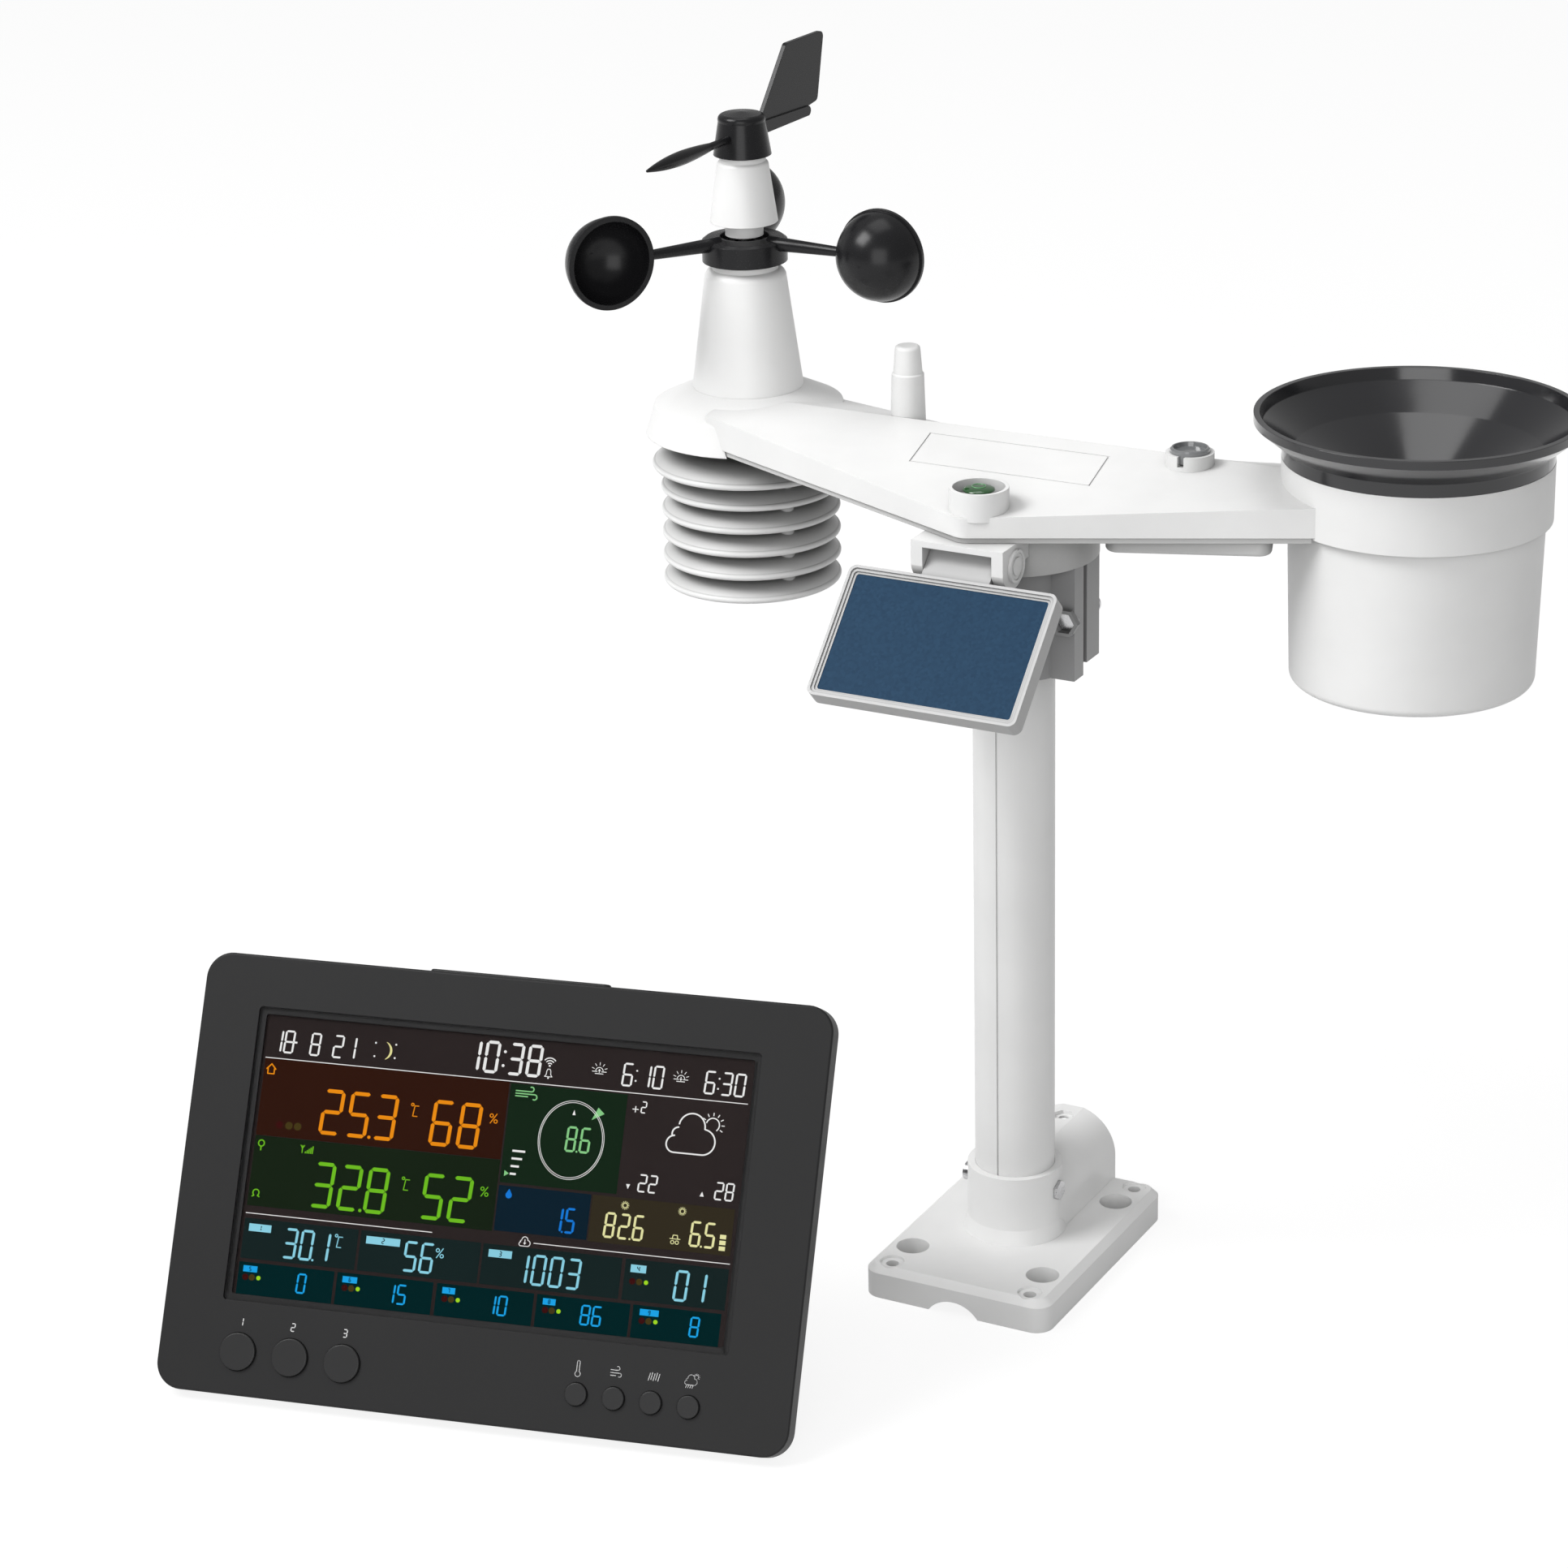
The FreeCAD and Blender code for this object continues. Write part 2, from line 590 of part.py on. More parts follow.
def arm_bottom_case():
    z0 = PART_Z - LOWER_T
    slab = arm_plan(LOWER_INSET, z0, PART_Z)
    disc = roof_solid(WALL + SLIP).translate(V(0, 0, -JOIN)).common(box(-400, 0, -200, 200, z0, PART_Z))
    lip = arm_plan(WALL + 0.1, PART_Z - JOIN, PART_Z + LIP_H)
    lip = lip.cut(arm_plan(WALL + 2.1, PART_Z - 2, PART_Z + LIP_H + 1))
    away = cylinder(COLLAR_R + 0.2, 40, (REACH, END_Y, PART_Z - 20))
    roof_away = cylinder(ROOF_R + 1, 40, (-REACH, END_Y, PART_Z - 20))
    boss = cylinder(BOSS_R, PART_Z - BOSS_BOTTOM, (0, 0, BOSS_BOTTOM))
    body = fuse([slab.cut([away]), lip.cut([away, roof_away]), boss, disc])
    bore = cylinder(POLE_R + FIT, POLE_TOP - BOSS_BOTTOM, (0, 0, BOSS_BOTTOM))
    bay = battery_frame(prism_z(door_outline(DOOR_T + 1), z0 - 1, PART_Z + 1))
    holes = [cylinder(CASE_SCREW_R + FIT, 20, (x, y, z0 - 2)) for x, y in CASE_SCREWS]
    return body.cut([bore, bay] + holes)


def case_screws():
    screws = []
    z0 = PART_Z - LOWER_T
    for x, y in CASE_SCREWS:
        head = cone(CASE_HEAD_R * 0.86, CASE_HEAD_R, CASE_HEAD_H, (x, y, z0 - CASE_HEAD_H))
        reach, half, deep = CASE_HEAD_R / 2, CROSS_W / 2, CASE_HEAD_H * 0.6
        cross = [box(x - reach, x + reach, y - half, y + half, z0 - 2 * CASE_HEAD_H, z0 - deep),
                 box(x - half, x + half, y - reach, y + reach, z0 - 2 * CASE_HEAD_H, z0 - deep)]
        shank = cylinder(CASE_SCREW_R, CASE_SCREW_L, (x, y, z0))
        screws.append(fuse([head, shank]).cut(cross))
    return group(screws)


def antenna():
    top = PART_Z + AERIAL_H
    step_z = top - AERIAL_STEP
    rod = turned([(0, PART_Z + 2), (AERIAL_FOOT_R, PART_Z + 2), (6.2, step_z - 0.6), (5.6, step_z),
                  (AERIAL_TIP_R, top - 1.5), (AERIAL_TIP_R - 1.5, top,
                                                      AERIAL_TIP_R - 0.44, top - 0.44),
                  (0, top)], AERIAL_X, AERIAL_Y)
    return rod.cut(arm_solid())


def level_vial():
    z0 = PART_Z + LEVEL_FLOOR
    seat = cylinder(LEVEL_BORE_R - FIT, 1.2, (LEVEL_X, LEVEL_Y, z0))
    vial = cylinder(VIAL_R, VIAL_H, (LEVEL_X, LEVEL_Y, z0 + 1.2 - JOIN))
    return fuse([seat, vial])


def light_lens():
    z0 = PART_Z + LIGHT_RING_TOP - 3.0
    top = PART_Z + LIGHT_TOP
    return turned([(0, z0), (LIGHT_BORE_R - FIT, z0), (LIGHT_BORE_R - FIT, top - 0.5),
                   (LIGHT_BORE_R - 0.6, top), (LIGHT_BORE_R - 1.2, top), (LIGHT_BORE_R - 1.6, top - 1.6),
                   (0, top - 1.9)], LIGHT_X, LIGHT_Y)


# Wind tower and what turns on it

def wind_tower():
    z0 = PART_Z + TOWER_Z
    w = WALL
    spigot = 6.0
    return turned([(TOWER_R - w - 2 - FIT, z0 - spigot), (TOWER_R - w - 2 - FIT, z0), (TOWER_R, z0),
                   (TOWER_TOP_R, TOWER_SHOULDER_Z),
                   (NECK_R, TOWER_SHOULDER_Z + 3.4, NECK_R + 2.0, TOWER_SHOULDER_Z + 2.4),
                   (NECK_R, NECK_Z), (POST_R + FIT, NECK_Z), (POST_R + FIT, NECK_Z - 8),
                   (NECK_R - w, NECK_Z - 8), (TOWER_R - w - 4.2, z0 - spigot)], -REACH, END_Y)


def tower_post():
    washer = 0.8
    return turned([(0, NECK_Z - 9), (POST_R + 2.5, NECK_Z - 9), (POST_R + 2.5, NECK_Z - 8),
                   (POST_R, NECK_Z - 8), (POST_R, POST_TOP - washer), (POST_R - washer, POST_TOP),
                   (0, POST_TOP)], -REACH, END_Y)


def bearing(z):
    return turned([(POST_R + FIT, z), (BEARING_R, z), (BEARING_R, z + BEARING_H),
                   (POST_R + FIT, z + BEARING_H)], -REACH, END_Y)


def wind_bearings():
    return group([bearing(ROTOR_BEARING_Z), bearing(VANE_BEARING_Z)])


def cup_arm(index):
    angle = CUP_ANGLE + index * 360 / CUP_COUNT
    root = 11.0
    reach = CUP_ORBIT - CUP_R + CUP_WALL / 2
    arm = cone(ARM_ROOT_R, ARM_END_R, reach - root, (-REACH + root, END_Y, CUP_Z), X_AXIS)
    return arm, angle


def wind_cup(index):
    arm, angle = cup_arm(index)
    r = CUP_R - CUP_WALL
    lip = CUP_R + 0.7
    foot = math.sqrt(CUP_R ** 2 - 0.8 ** 2)
    k = math.sqrt(0.5)
    profile = face_of([(0, -r), (0, -CUP_R), (foot, -0.8, CUP_R * k, -CUP_R * k), (lip, -0.8), (lip, 0.8),
                       (r, 0.8), (r, 0), (0, -r, r * k, -r * k)], lambda u, v: V(u, v, 0))
    bowl = profile.revolve(V(0, 0, 0), Y_AXIS, 360)
    bowl.translate(V(-REACH + CUP_ORBIT, END_Y + CUP_BACKSET, CUP_Z))
    return turned_about(fuse([bowl, arm]), -REACH, END_Y, angle)


def rotor_hub():
    inner = BAND_R - BAND_WALL
    seat = BEARING_R + FIT
    boss = seat + 1.8
    hub = turned([(inner, BAND_BOTTOM), (BAND_R, BAND_BOTTOM), (BAND_R, BAND_TOP),
                  (BAND_R - 1.4, BAND_TOP + 1.0), (ROTOR_MOUTH_R + 1.0, ROTOR_CREST),
                  (ROTOR_MOUTH_R, ROTOR_CREST), (ROTOR_MOUTH_R - 0.6, ROTOR_CREST - 2.4),
                  (seat - 1.2, ROTOR_CREST - 2.4), (seat - 1.2, ROTOR_BEARING_Z + BEARING_H + 0.1),
                  (seat, ROTOR_BEARING_Z + BEARING_H + 0.1), (seat, ROTOR_BEARING_Z),
                  (boss, ROTOR_BEARING_Z), (boss, ROTOR_CREST - 5.0), (inner, ROTOR_CREST - 5.0)],
                 -REACH, END_Y)
    arms = []
    for index in range(CUP_COUNT):
        arm, angle = cup_arm(index)
        arms.append(turned_about(arm, -REACH, END_Y, angle))
    return hub.cut(arms)


def rotor_magnet():
    at = (-REACH + BEARING_R + 4.6, END_Y, ROTOR_CREST - 5.0 - 2.0)
    return cylinder(1.9, 2.0, at)


def upper_cone():
    bore = POST_R + FIT
    return turned([(bore, ROTOR_CREST + 0.4), (7.4, ROTOR_CREST + 0.4), (7.4, SPACER_BOTTOM),
                   (SPACER_R, SPACER_BOTTOM), (SPACER_TOP_R, SPACER_SHOULDER_Z),
                   (8.9, SPACER_SHOULDER_Z + 1.6, 9.6, SPACER_SHOULDER_Z + 1.1),
                   (8.9, SPACER_TOP), (bore, SPACER_TOP)], -REACH, END_Y)


def vane_hub():
    seat = BEARING_R + FIT
    return turned([(seat, HUB_BOTTOM), (HUB_R, HUB_BOTTOM), (HUB_TOP_R, HUB_SHOULDER_Z),
                   (HUB_TOP_R - 2.2, HUB_TOP - 0.8, HUB_TOP_R - 0.5, HUB_SHOULDER_Z + 2.2),
                   (0, HUB_TOP), (0, POST_TOP + 1.0), (POST_R + 1.0, POST_TOP + 1.0),
                   (POST_R + 1.0, VANE_BEARING_Z + BEARING_H + 0.1),
                   (seat, VANE_BEARING_Z + BEARING_H + 0.1)], -REACH, END_Y)


def hub_limit():
    """Outer surface of the vane hub, for the parts that are glued against it."""
    return turned([(0, HUB_BOTTOM - 1), (HUB_R, HUB_BOTTOM), (HUB_TOP_R, HUB_SHOULDER_Z),
                   (0, HUB_TOP)], -REACH, END_Y)


def vane_tail():
    fin = face_of([(r, z) for r, z in FIN], lambda u, v: V(-REACH + u, END_Y - FIN_T / 2, v))
    fin = fin.extrude(V(0, FIN_T, 0))
    corners = [e for e in fin.Edges if abs(e.Length - FIN_T) < 1e-6
               and e.Vertexes[0].Point.z > VANE_Z + 1 and e.Vertexes[0].Point.x > -REACH + 13]
    fin = fin.makeFillet(2.2, [e for e in corners if e.Vertexes[0].Point.z > VANE_Z + 2])
    boom = face_of([(8.0, VANE_Z - 2.4), (TAIL_REACH, VANE_Z - 1.9),
                    (TAIL_REACH, VANE_Z + 1.9, TAIL_REACH + 1.4, VANE_Z), (8.0, VANE_Z + 2.8)],
                   lambda u, v: V(-REACH + u, END_Y - 1.7, v)).extrude(V(0, 3.4, 0))
    tail = fuse([fin, boom]).cut(hub_limit())
    return turned_about(tail, -REACH, END_Y, VANE_ANGLE)


def vane_pointer():
    mid = POINTER_REACH * 0.62
    face = face_of([(8.0, 0), (8.0, 1.5), (22.0, 1.5), (mid, POINTER_R, 31.0, 2.3),
                    (POINTER_REACH, 0.5, mid + 15, 2.0), (POINTER_REACH, 0)],
                   lambda u, v: V(-REACH + u, END_Y, VANE_Z + v))
    spike = face.revolve(V(-REACH, END_Y, VANE_Z), X_AXIS, 360).cut(hub_limit())
    return turned_about(spike, -REACH, END_Y, VANE_ANGLE + 180)


def vane_magnet():
    z0 = POST_TOP + 1.0
    return cylinder(POST_R + 0.9, 0.9, (-REACH, END_Y, z0 - 0.95))


# Louvred shield

def louvre_z(index):
    return LOUVRE_TOP_Z - index * LOUVRE_PITCH


def louvre(index, radius, closed):
    z = louvre_z(index)
    t = LOUVRE_T
    top = z + LOUVRE_RISE
    ring = turned([(LOUVRE_BORE_R, top), (radius - 1.0, z + 2.6, radius - 6.0, z + 5.9),
                   (radius - 1.6, z, radius, z + 0.9), (LOUVRE_BORE_R, top - t - 1.0, radius - 7.2, z + 3.6)],
                  -REACH, END_Y)
    pieces = [ring]
    for k in range(ROD_COUNT):
        a = math.radians(90 + k * 360 / ROD_COUNT)
        at = (-REACH + ROD_ORBIT * math.cos(a), END_Y + ROD_ORBIT * math.sin(a), top - t - 2.2)
        pieces.append(cylinder(ROD_BOSS_R, LOUVRE_PITCH, at))
    if closed:
        pieces.append(cylinder(LOUVRE_BORE_R + 1, t, (-REACH, END_Y, top - t - 0.4)))
    bores = []
    for k in range(ROD_COUNT):
        a = math.radians(90 + k * 360 / ROD_COUNT)
        at = (-REACH + ROD_ORBIT * math.cos(a), END_Y + ROD_ORBIT * math.sin(a), z - 20)
        bores.append(cylinder(ROD_R + FIT, 60, at))
    return fuse(pieces).cut(bores)


def louvre_top():
    ring = louvre(0, LOUVRE_TOP_R, False)
    reach = PART_Z - LOWER_T - (louvre_z(0) + LOUVRE_RISE)
    posts = []
    for k in range(ROD_COUNT):
        a = math.radians(90 + k * 360 / ROD_COUNT)
        at = (-REACH + ROD_ORBIT * math.cos(a), END_Y + ROD_ORBIT * math.sin(a),
              louvre_z(0) + LOUVRE_RISE - 1)
        post = cylinder(ROD_BOSS_R, reach + 1, at)
        posts.append(post.cut(cylinder(ROD_R + FIT, 60, (at[0], at[1], at[2] - 20))))
    return fuse([ring] + posts)


def louvre_stack():
    return group([louvre(i, LOUVRE_R, i == LOUVRE_COUNT - 1) for i in range(1, LOUVRE_COUNT)])


def louvre_rods():
    bottom = louvre_z(LOUVRE_COUNT - 1) + LOUVRE_RISE - LOUVRE_T - 2.2
    rods = []
    for k in range(ROD_COUNT):
        a = math.radians(90 + k * 360 / ROD_COUNT)
        x = -REACH + ROD_ORBIT * math.cos(a)
        y = END_Y + ROD_ORBIT * math.sin(a)
        shank = cylinder(ROD_R, PART_Z - LOWER_T - bottom, (x, y, bottom))
        head = cylinder(ROD_R * 1.9, 1.4, (x, y, bottom - 1.4))
        rods.append(fuse([shank, head]))
    return group(rods)


def sensor_board():
    top = PART_Z - LOWER_T
    board = box(-REACH - 9, -REACH + 9, END_Y - 0.8, END_Y + 0.8, top - 44, top)
    chip = box(-REACH - 3, -REACH + 3, END_Y - 2.4, END_Y - 0.8 + 0.2, top - 41, top - 35)
    return fuse([board, chip])


def main_board():
    z0 = PART_Z + BOARD_FOOT_H
    x0, y0 = MAIN_BOARD_CORNER
    top = z0 + BOARD_T
    board = box(x0, x0 + MAIN_BOARD_W, y0, y0 + MAIN_BOARD_D, z0, top)
    chips = [box(x0 + x, x0 + x + wide, y0 + y, y0 + y + deep, top - 0.2, top + high)
             for x, y, wide, deep, high in MAIN_BOARD_CHIPS]
    edge = BOARD_FOOT_R * 1.8
    feet = [cylinder(BOARD_FOOT_R, BOARD_FOOT_H + 0.2, (x, y, PART_Z))
            for x in (x0 + edge, x0 + MAIN_BOARD_W - edge) for y in (y0 + edge, y0 + MAIN_BOARD_D - edge)]
    return fuse([board] + chips + feet)


# Batteries

def battery_cells():
    pitch = 2 * BATTERY_R + 0.6
    first = DOOR_W / 2 - pitch * (BATTERY_COUNT - 1) / 2
    z = DOOR_BOTTOM + DOOR_T + 0.15 + BATTERY_R
    cells = []
    for i in range(BATTERY_COUNT):
        x0 = (DOOR_L - BATTERY_L) / 2
        can = cylinder(BATTERY_R, BATTERY_L - 1.2, (x0, first + i * pitch, z), X_AXIS)
        cap = cylinder(2.7, 1.2 + JOIN, (x0 + BATTERY_L - 1.2 - JOIN, first + i * pitch, z), X_AXIS)
        cells.append(battery_frame(fuse([can, cap])))
    return group(cells)


def battery_door():
    top = PART_Z - LOWER_T
    tray = prism_z(door_outline(0), DOOR_BOTTOM, top)
    bottom = [e for e in tray.Edges if all(abs(v.Point.z - DOOR_BOTTOM) < 1e-4 for v in e.Vertexes)]
    tray = tray.makeFillet(1.6, bottom)
    hollow = prism_z(door_outline(DOOR_T), DOOR_BOTTOM + DOOR_T, top + 1)
    grip = [box(8 + 3 * i, 9.2 + 3 * i, 14, 34, DOOR_BOTTOM - 1, DOOR_BOTTOM + 0.6) for i in range(4)]
    return battery_frame(tray.cut([hollow] + grip))


# Rain gauge

def rain_bucket():
    w = BUCKET_WALL
    x, y = REACH, END_Y
    top = PART_Z + 6.0
    r = 3.0
    shell = turned([(0, BUCKET_BOTTOM), (BUCKET_BOTTOM_R - r, BUCKET_BOTTOM),
                    (BUCKET_BOTTOM_R, BUCKET_BOTTOM + r, BUCKET_BOTTOM_R - r * 0.29, BUCKET_BOTTOM + r * 0.29),
                    (BUCKET_TOP_R, PART_Z - 1), (BUCKET_TOP_R, top), (BUCKET_TOP_R - w, top),
                    (BUCKET_BOTTOM_R - w, BUCKET_BOTTOM + w + 1), (BUCKET_BOTTOM_R - w - 1, BUCKET_BOTTOM + w),
                    (0, BUCKET_BOTTOM + w)], x, y)
    drains = []
    for side in (-1, 1):
        for k in range(4):
            drains.append(box(x + side * 20 - 6, x + side * 20 + 6, y - 9 + 5 * k, y - 6.5 + 5 * k,
                              BUCKET_BOTTOM - 1, BUCKET_BOTTOM + w + 1))
    return shell.cut(drains)


def rain_funnel():
    x, y = REACH, END_Y
    ring_bottom = PART_Z + COLLAR_TOP
    skirt_r = COLLAR_R - COLLAR_WALL - 0.2
    t = FUNNEL_T
    outline = [(SPOUT_R, SPOUT_BOTTOM), (SPOUT_R + t, SPOUT_BOTTOM), (SPOUT_R + t, SPOUT_BOTTOM + 6),
               (skirt_r - t, ring_bottom - 1.0), (skirt_r - t, ring_bottom - 8.0), (skirt_r, ring_bottom - 8.0),
               (skirt_r, ring_bottom), (FUNNEL_RING_R, ring_bottom), (FUNNEL_RING_R, FUNNEL_RING_TOP),
               (RIM_R, RIM_TOP - RIM_BAND), (RIM_R, RIM_TOP), (RIM_R - 2.2, RIM_TOP),
               (RIM_R - 3.2, RIM_TOP - 4.4), (FUNNEL_RING_R - 4.0, FUNNEL_RING_TOP - 2.0),
               (SPOUT_R, SPOUT_BOTTOM + 8.0)]
    return turned(outline, x, y)


def tilt_tipper(shape):
    copy = shape.copy()
    copy.rotate(V(REACH, END_Y, TIPPER_Z), Y_AXIS, TIPPER_REST)
    return copy


def tipping_bucket():
    h = TIPPER_HALF
    t = TIPPER_T
    low = -TIPPER_PIN_R - 1.6
    plate = [(0, low), (h, TIPPER_RISE), (0, TIPPER_DIVIDER), (-h, TIPPER_RISE)]
    x, y, z = REACH, END_Y, TIPPER_Z

    def slab(points, y0, y1):
        return prism_y([(x + u, z + v) for u, v in points], y0, y1)

    half = TIPPER_W / 2
    sides = [slab(plate, y + s * half - t / 2, y + s * half + t / 2) for s in (-1, 1)]
    floor = slab([(0, low), (h, TIPPER_RISE), (h, TIPPER_RISE + t), (0, low + t * 1.1),
                  (-h, TIPPER_RISE + t), (-h, TIPPER_RISE)], y - half, y + half)
    divider = slab([(-t / 2, low + 0.4), (t / 2, low + 0.4), (t / 2, TIPPER_DIVIDER - 0.8),
                    (-t / 2, TIPPER_DIVIDER - 0.8)], y - half, y + half)
    barrel = cylinder(TIPPER_PIN_R + 1.4, TIPPER_W, (x, y - half, z), Y_AXIS)
    bore = cylinder(TIPPER_PIN_R + FIT, 60, (x, y - 30, z), Y_AXIS)
    return tilt_tipper(fuse(sides + [floor, divider, barrel]).cut(bore))


def tipper_cradle():
    x, y = REACH, END_Y
    floor_z = BUCKET_BOTTOM + BUCKET_WALL
    half = TIPPER_W / 2 + TIPPER_T / 2 + 1.0
    foot = box(x - 9, x + 9, y - half - CRADLE_T, y + half + CRADLE_T, floor_z, floor_z + 2.5)
    cheeks = []
    for s in (-1, 1):
        y0 = y + s * half if s > 0 else y - half - CRADLE_T
        cheeks.append(prism_y([(x - 9, floor_z), (x + 9, floor_z), (x + 4, TIPPER_Z),
                               (x - 4, TIPPER_Z, x, TIPPER_Z + 4)], y0, y0 + CRADLE_T))
    bore = cylinder(TIPPER_PIN_R, 80, (x, y - 40, TIPPER_Z), Y_AXIS)
    return fuse([foot] + cheeks).cut(bore)


def tipper_pin():
    half = TIPPER_W / 2 + TIPPER_T / 2 + 1.0 + CRADLE_T
    return cylinder(TIPPER_PIN_R, 2 * half, (REACH, END_Y - half, TIPPER_Z), Y_AXIS)


def reed_board():
    x, y = REACH, END_Y
    half = TIPPER_W / 2 + TIPPER_T / 2 + 1.0 + CRADLE_T
    floor_z = BUCKET_BOTTOM + BUCKET_WALL
    board = box(x - 8, x + 8, y + half, y + half + 1.6, floor_z, floor_z + 34)
    reed = cylinder(1.2, 12, (x - 6, y + half + 2.4, floor_z + 28), X_AXIS)
    return fuse([board, reed])


# Solar panel

def panel_yoke():
    y_in = -24.0
    web = box(-YOKE_HALF, YOKE_HALF, YOKE_FRONT, y_in, YOKE_TOP - YOKE_WEB, YOKE_TOP)
    ear_outline = [(YOKE_FRONT, YOKE_TOP), (YOKE_FRONT, HINGE_Z - 1.5),
                   (HINGE_Y, HINGE_Z - YOKE_EAR_R, YOKE_FRONT + 3.4, HINGE_Z - 6.6),
                   (HINGE_Y + YOKE_EAR_R, HINGE_Z, HINGE_Y + YOKE_EAR_R * 0.7071,
                    HINGE_Z - YOKE_EAR_R * 0.7071), (y_in, HINGE_Z), (y_in, YOKE_TOP)]
    pieces = [web]
    for s in (-1, 1):
        x0 = YOKE_HALF - YOKE_EAR_T if s > 0 else -YOKE_HALF
        pieces.append(prism_x(ear_outline, x0, x0 + YOKE_EAR_T))
    yoke = fuse(pieces)
    boss = cylinder(BOSS_R, 60, (0, 0, BOSS_BOTTOM - 10))
    lower_case = arm_plan(LOWER_INSET, PART_Z - LOWER_T, PART_Z)
    bore = cylinder(HINGE_PIN_R, 80, (-40, HINGE_Y, HINGE_Z), X_AXIS)
    cuts = [boss, lower_case, bore]
    teeth = 9
    for k in range(teeth):
        a = math.radians(150 + k * 15)
        at = (-YOKE_HALF - 1, HINGE_Y + 7.4 * math.cos(a), HINGE_Z + 7.4 * math.sin(a))
        cuts.append(cylinder(0.45, 1.6, at, X_AXIS))
    return yoke.cut(cuts)


def panel_pin():
    head = 1.2
    length = 2 * YOKE_HALF
    pin = cylinder(HINGE_PIN_R, length, (-YOKE_HALF, HINGE_Y, HINGE_Z), X_AXIS)
    caps = [cylinder(6.2, head, (YOKE_HALF, HINGE_Y, HINGE_Z), X_AXIS),
            cylinder(6.2, head, (-YOKE_HALF - head, HINGE_Y, HINGE_Z), X_AXIS)]
    ring = cylinder(5.0, head, (YOKE_HALF + head - 0.5, HINGE_Y, HINGE_Z), X_AXIS)
    ring = ring.cut(cylinder(3.4, 3, (YOKE_HALF, HINGE_Y, HINGE_Z), X_AXIS))
    return fuse([pin] + caps).cut(ring)


def on_panel(shape):
    """Move a shape from the panel's own axes, with the hinge at the origin, to its tilted place."""
    copy = shape.copy()
    copy.rotate(V(0, 0, 0), X_AXIS, -PANEL_TILT)
    copy.translate(V(0, HINGE_Y, HINGE_Z))
    return copy


def panel_frame():
    front = -PANEL_FORE
    slab = prism_y(rounded_outline(PANEL_W, PANEL_H, PANEL_R, 0, -PANEL_DROP), front, front + PANEL_T)
    steps = [prism_y(rounded_outline(PANEL_W - 2 * i * LIP_W, PANEL_H - 2 * i * LIP_W, PANEL_R - i * 0.8,
                                     0, -PANEL_DROP), front - 1, front + i * LIP_STEP) for i in (1, 2)]
    well = prism_y(rounded_outline(CELL_W, CELL_H, 1.0, 0, -PANEL_DROP), front - 1, front + CELL_RECESS)
    inner_half = YOKE_HALF - YOKE_EAR_T - 0.25
    barrel = cylinder(BARREL_R, 2 * inner_half, (-inner_half, 0, 0), X_AXIS)
    top = -PANEL_DROP + PANEL_H / 2
    web = prism_x([(-BARREL_R, 0), (front + 1.2, top - 1.0), (front + PANEL_T, top - 1.0),
                   (BARREL_R, -1.0)], -inner_half, inner_half)
    bore = cylinder(HINGE_PIN_R + FIT, 80, (-40, 0, 0), X_AXIS)
    return on_panel(fuse([slab.cut(steps + [well]), barrel, web]).cut(bore))


def panel_cell():
    front = -PANEL_FORE
    glass = prism_y(rounded_outline(CELL_W, CELL_H, 1.0, 0, -PANEL_DROP), front + CELL_RECESS - CELL_T,
                    front + CELL_RECESS)
    return on_panel(glass)


# Desk console, built standing upright with its face at y = 0 and its lower edge at z = 0

def console_lift():
    """How far the reclined console is raised so that its lowest edge touches the ground."""
    return FACE_T * math.sin(math.radians(RECLINE))


def on_console(shape):
    copy = shape.copy()
    copy.rotate(V(0, 0, 0), X_AXIS, -RECLINE)
    copy.rotate(V(0, 0, 0), Z_AXIS, CONSOLE_TURN)
    copy.translate(V(CONSOLE_X, CONSOLE_Y, console_lift()))
    return copy


def console_wire(width, height, radius, cz, y):
    return face_of(rounded_outline(width, height, radius, 0, cz), lambda u, v: V(u, y, v)).OuterWire


def snooze_outline(gap):
    return rounded_outline(SNOOZE_W + 2 * gap, SNOOZE_D + 2 * gap, 2.2 + gap, 0, FACE_T / 2 + 0.4)


def console_front():
    slab = prism_y(rounded_outline(FACE_W, FACE_H, FACE_R, 0, FACE_H / 2), 0, FACE_T)
    front_edges = [e for e in slab.Edges if all(abs(v.Point.y) < 1e-4 for v in e.Vertexes)]
    slab = slab.makeFillet(0.9, front_edges)
    hollow = prism_y(rounded_outline(FACE_W - 2 * FACE_WALL, FACE_H - 2 * FACE_WALL, FACE_R - FACE_WALL,
                                     0, FACE_H / 2), FACE_WALL, FACE_T + 1)
    recess = prism_y(rounded_outline(WINDOW_W, WINDOW_H, 1.5, WINDOW_X, WINDOW_Z), -1, WINDOW_SINK + WINDOW_T)
    opening = prism_y(rounded_outline(WINDOW_W - 2 * LEDGE, WINDOW_H - 2 * LEDGE, 1.0, WINDOW_X, WINDOW_Z),
                      -1, FACE_WALL + 1)
    cuts = [hollow, recess, opening]
    for x in ROUND_KEYS:
        cuts.append(cylinder(ROUND_KEY_R + KEY_GAP, 20, (x, -5, ROUND_KEY_Z), Y_AXIS))
    for x in SMALL_KEYS:
        cuts.append(cylinder(SMALL_KEY_R + KEY_GAP, 20, (x, -5, SMALL_KEY_Z), Y_AXIS))
    cuts.append(prism_z(snooze_outline(KEY_GAP), FACE_H - 10, FACE_H + 5))
    return on_console(slab.cut(cuts))


def leg_hinge_y():
    return BACK_DEPTH + LEG_HINGE_R + SLIP


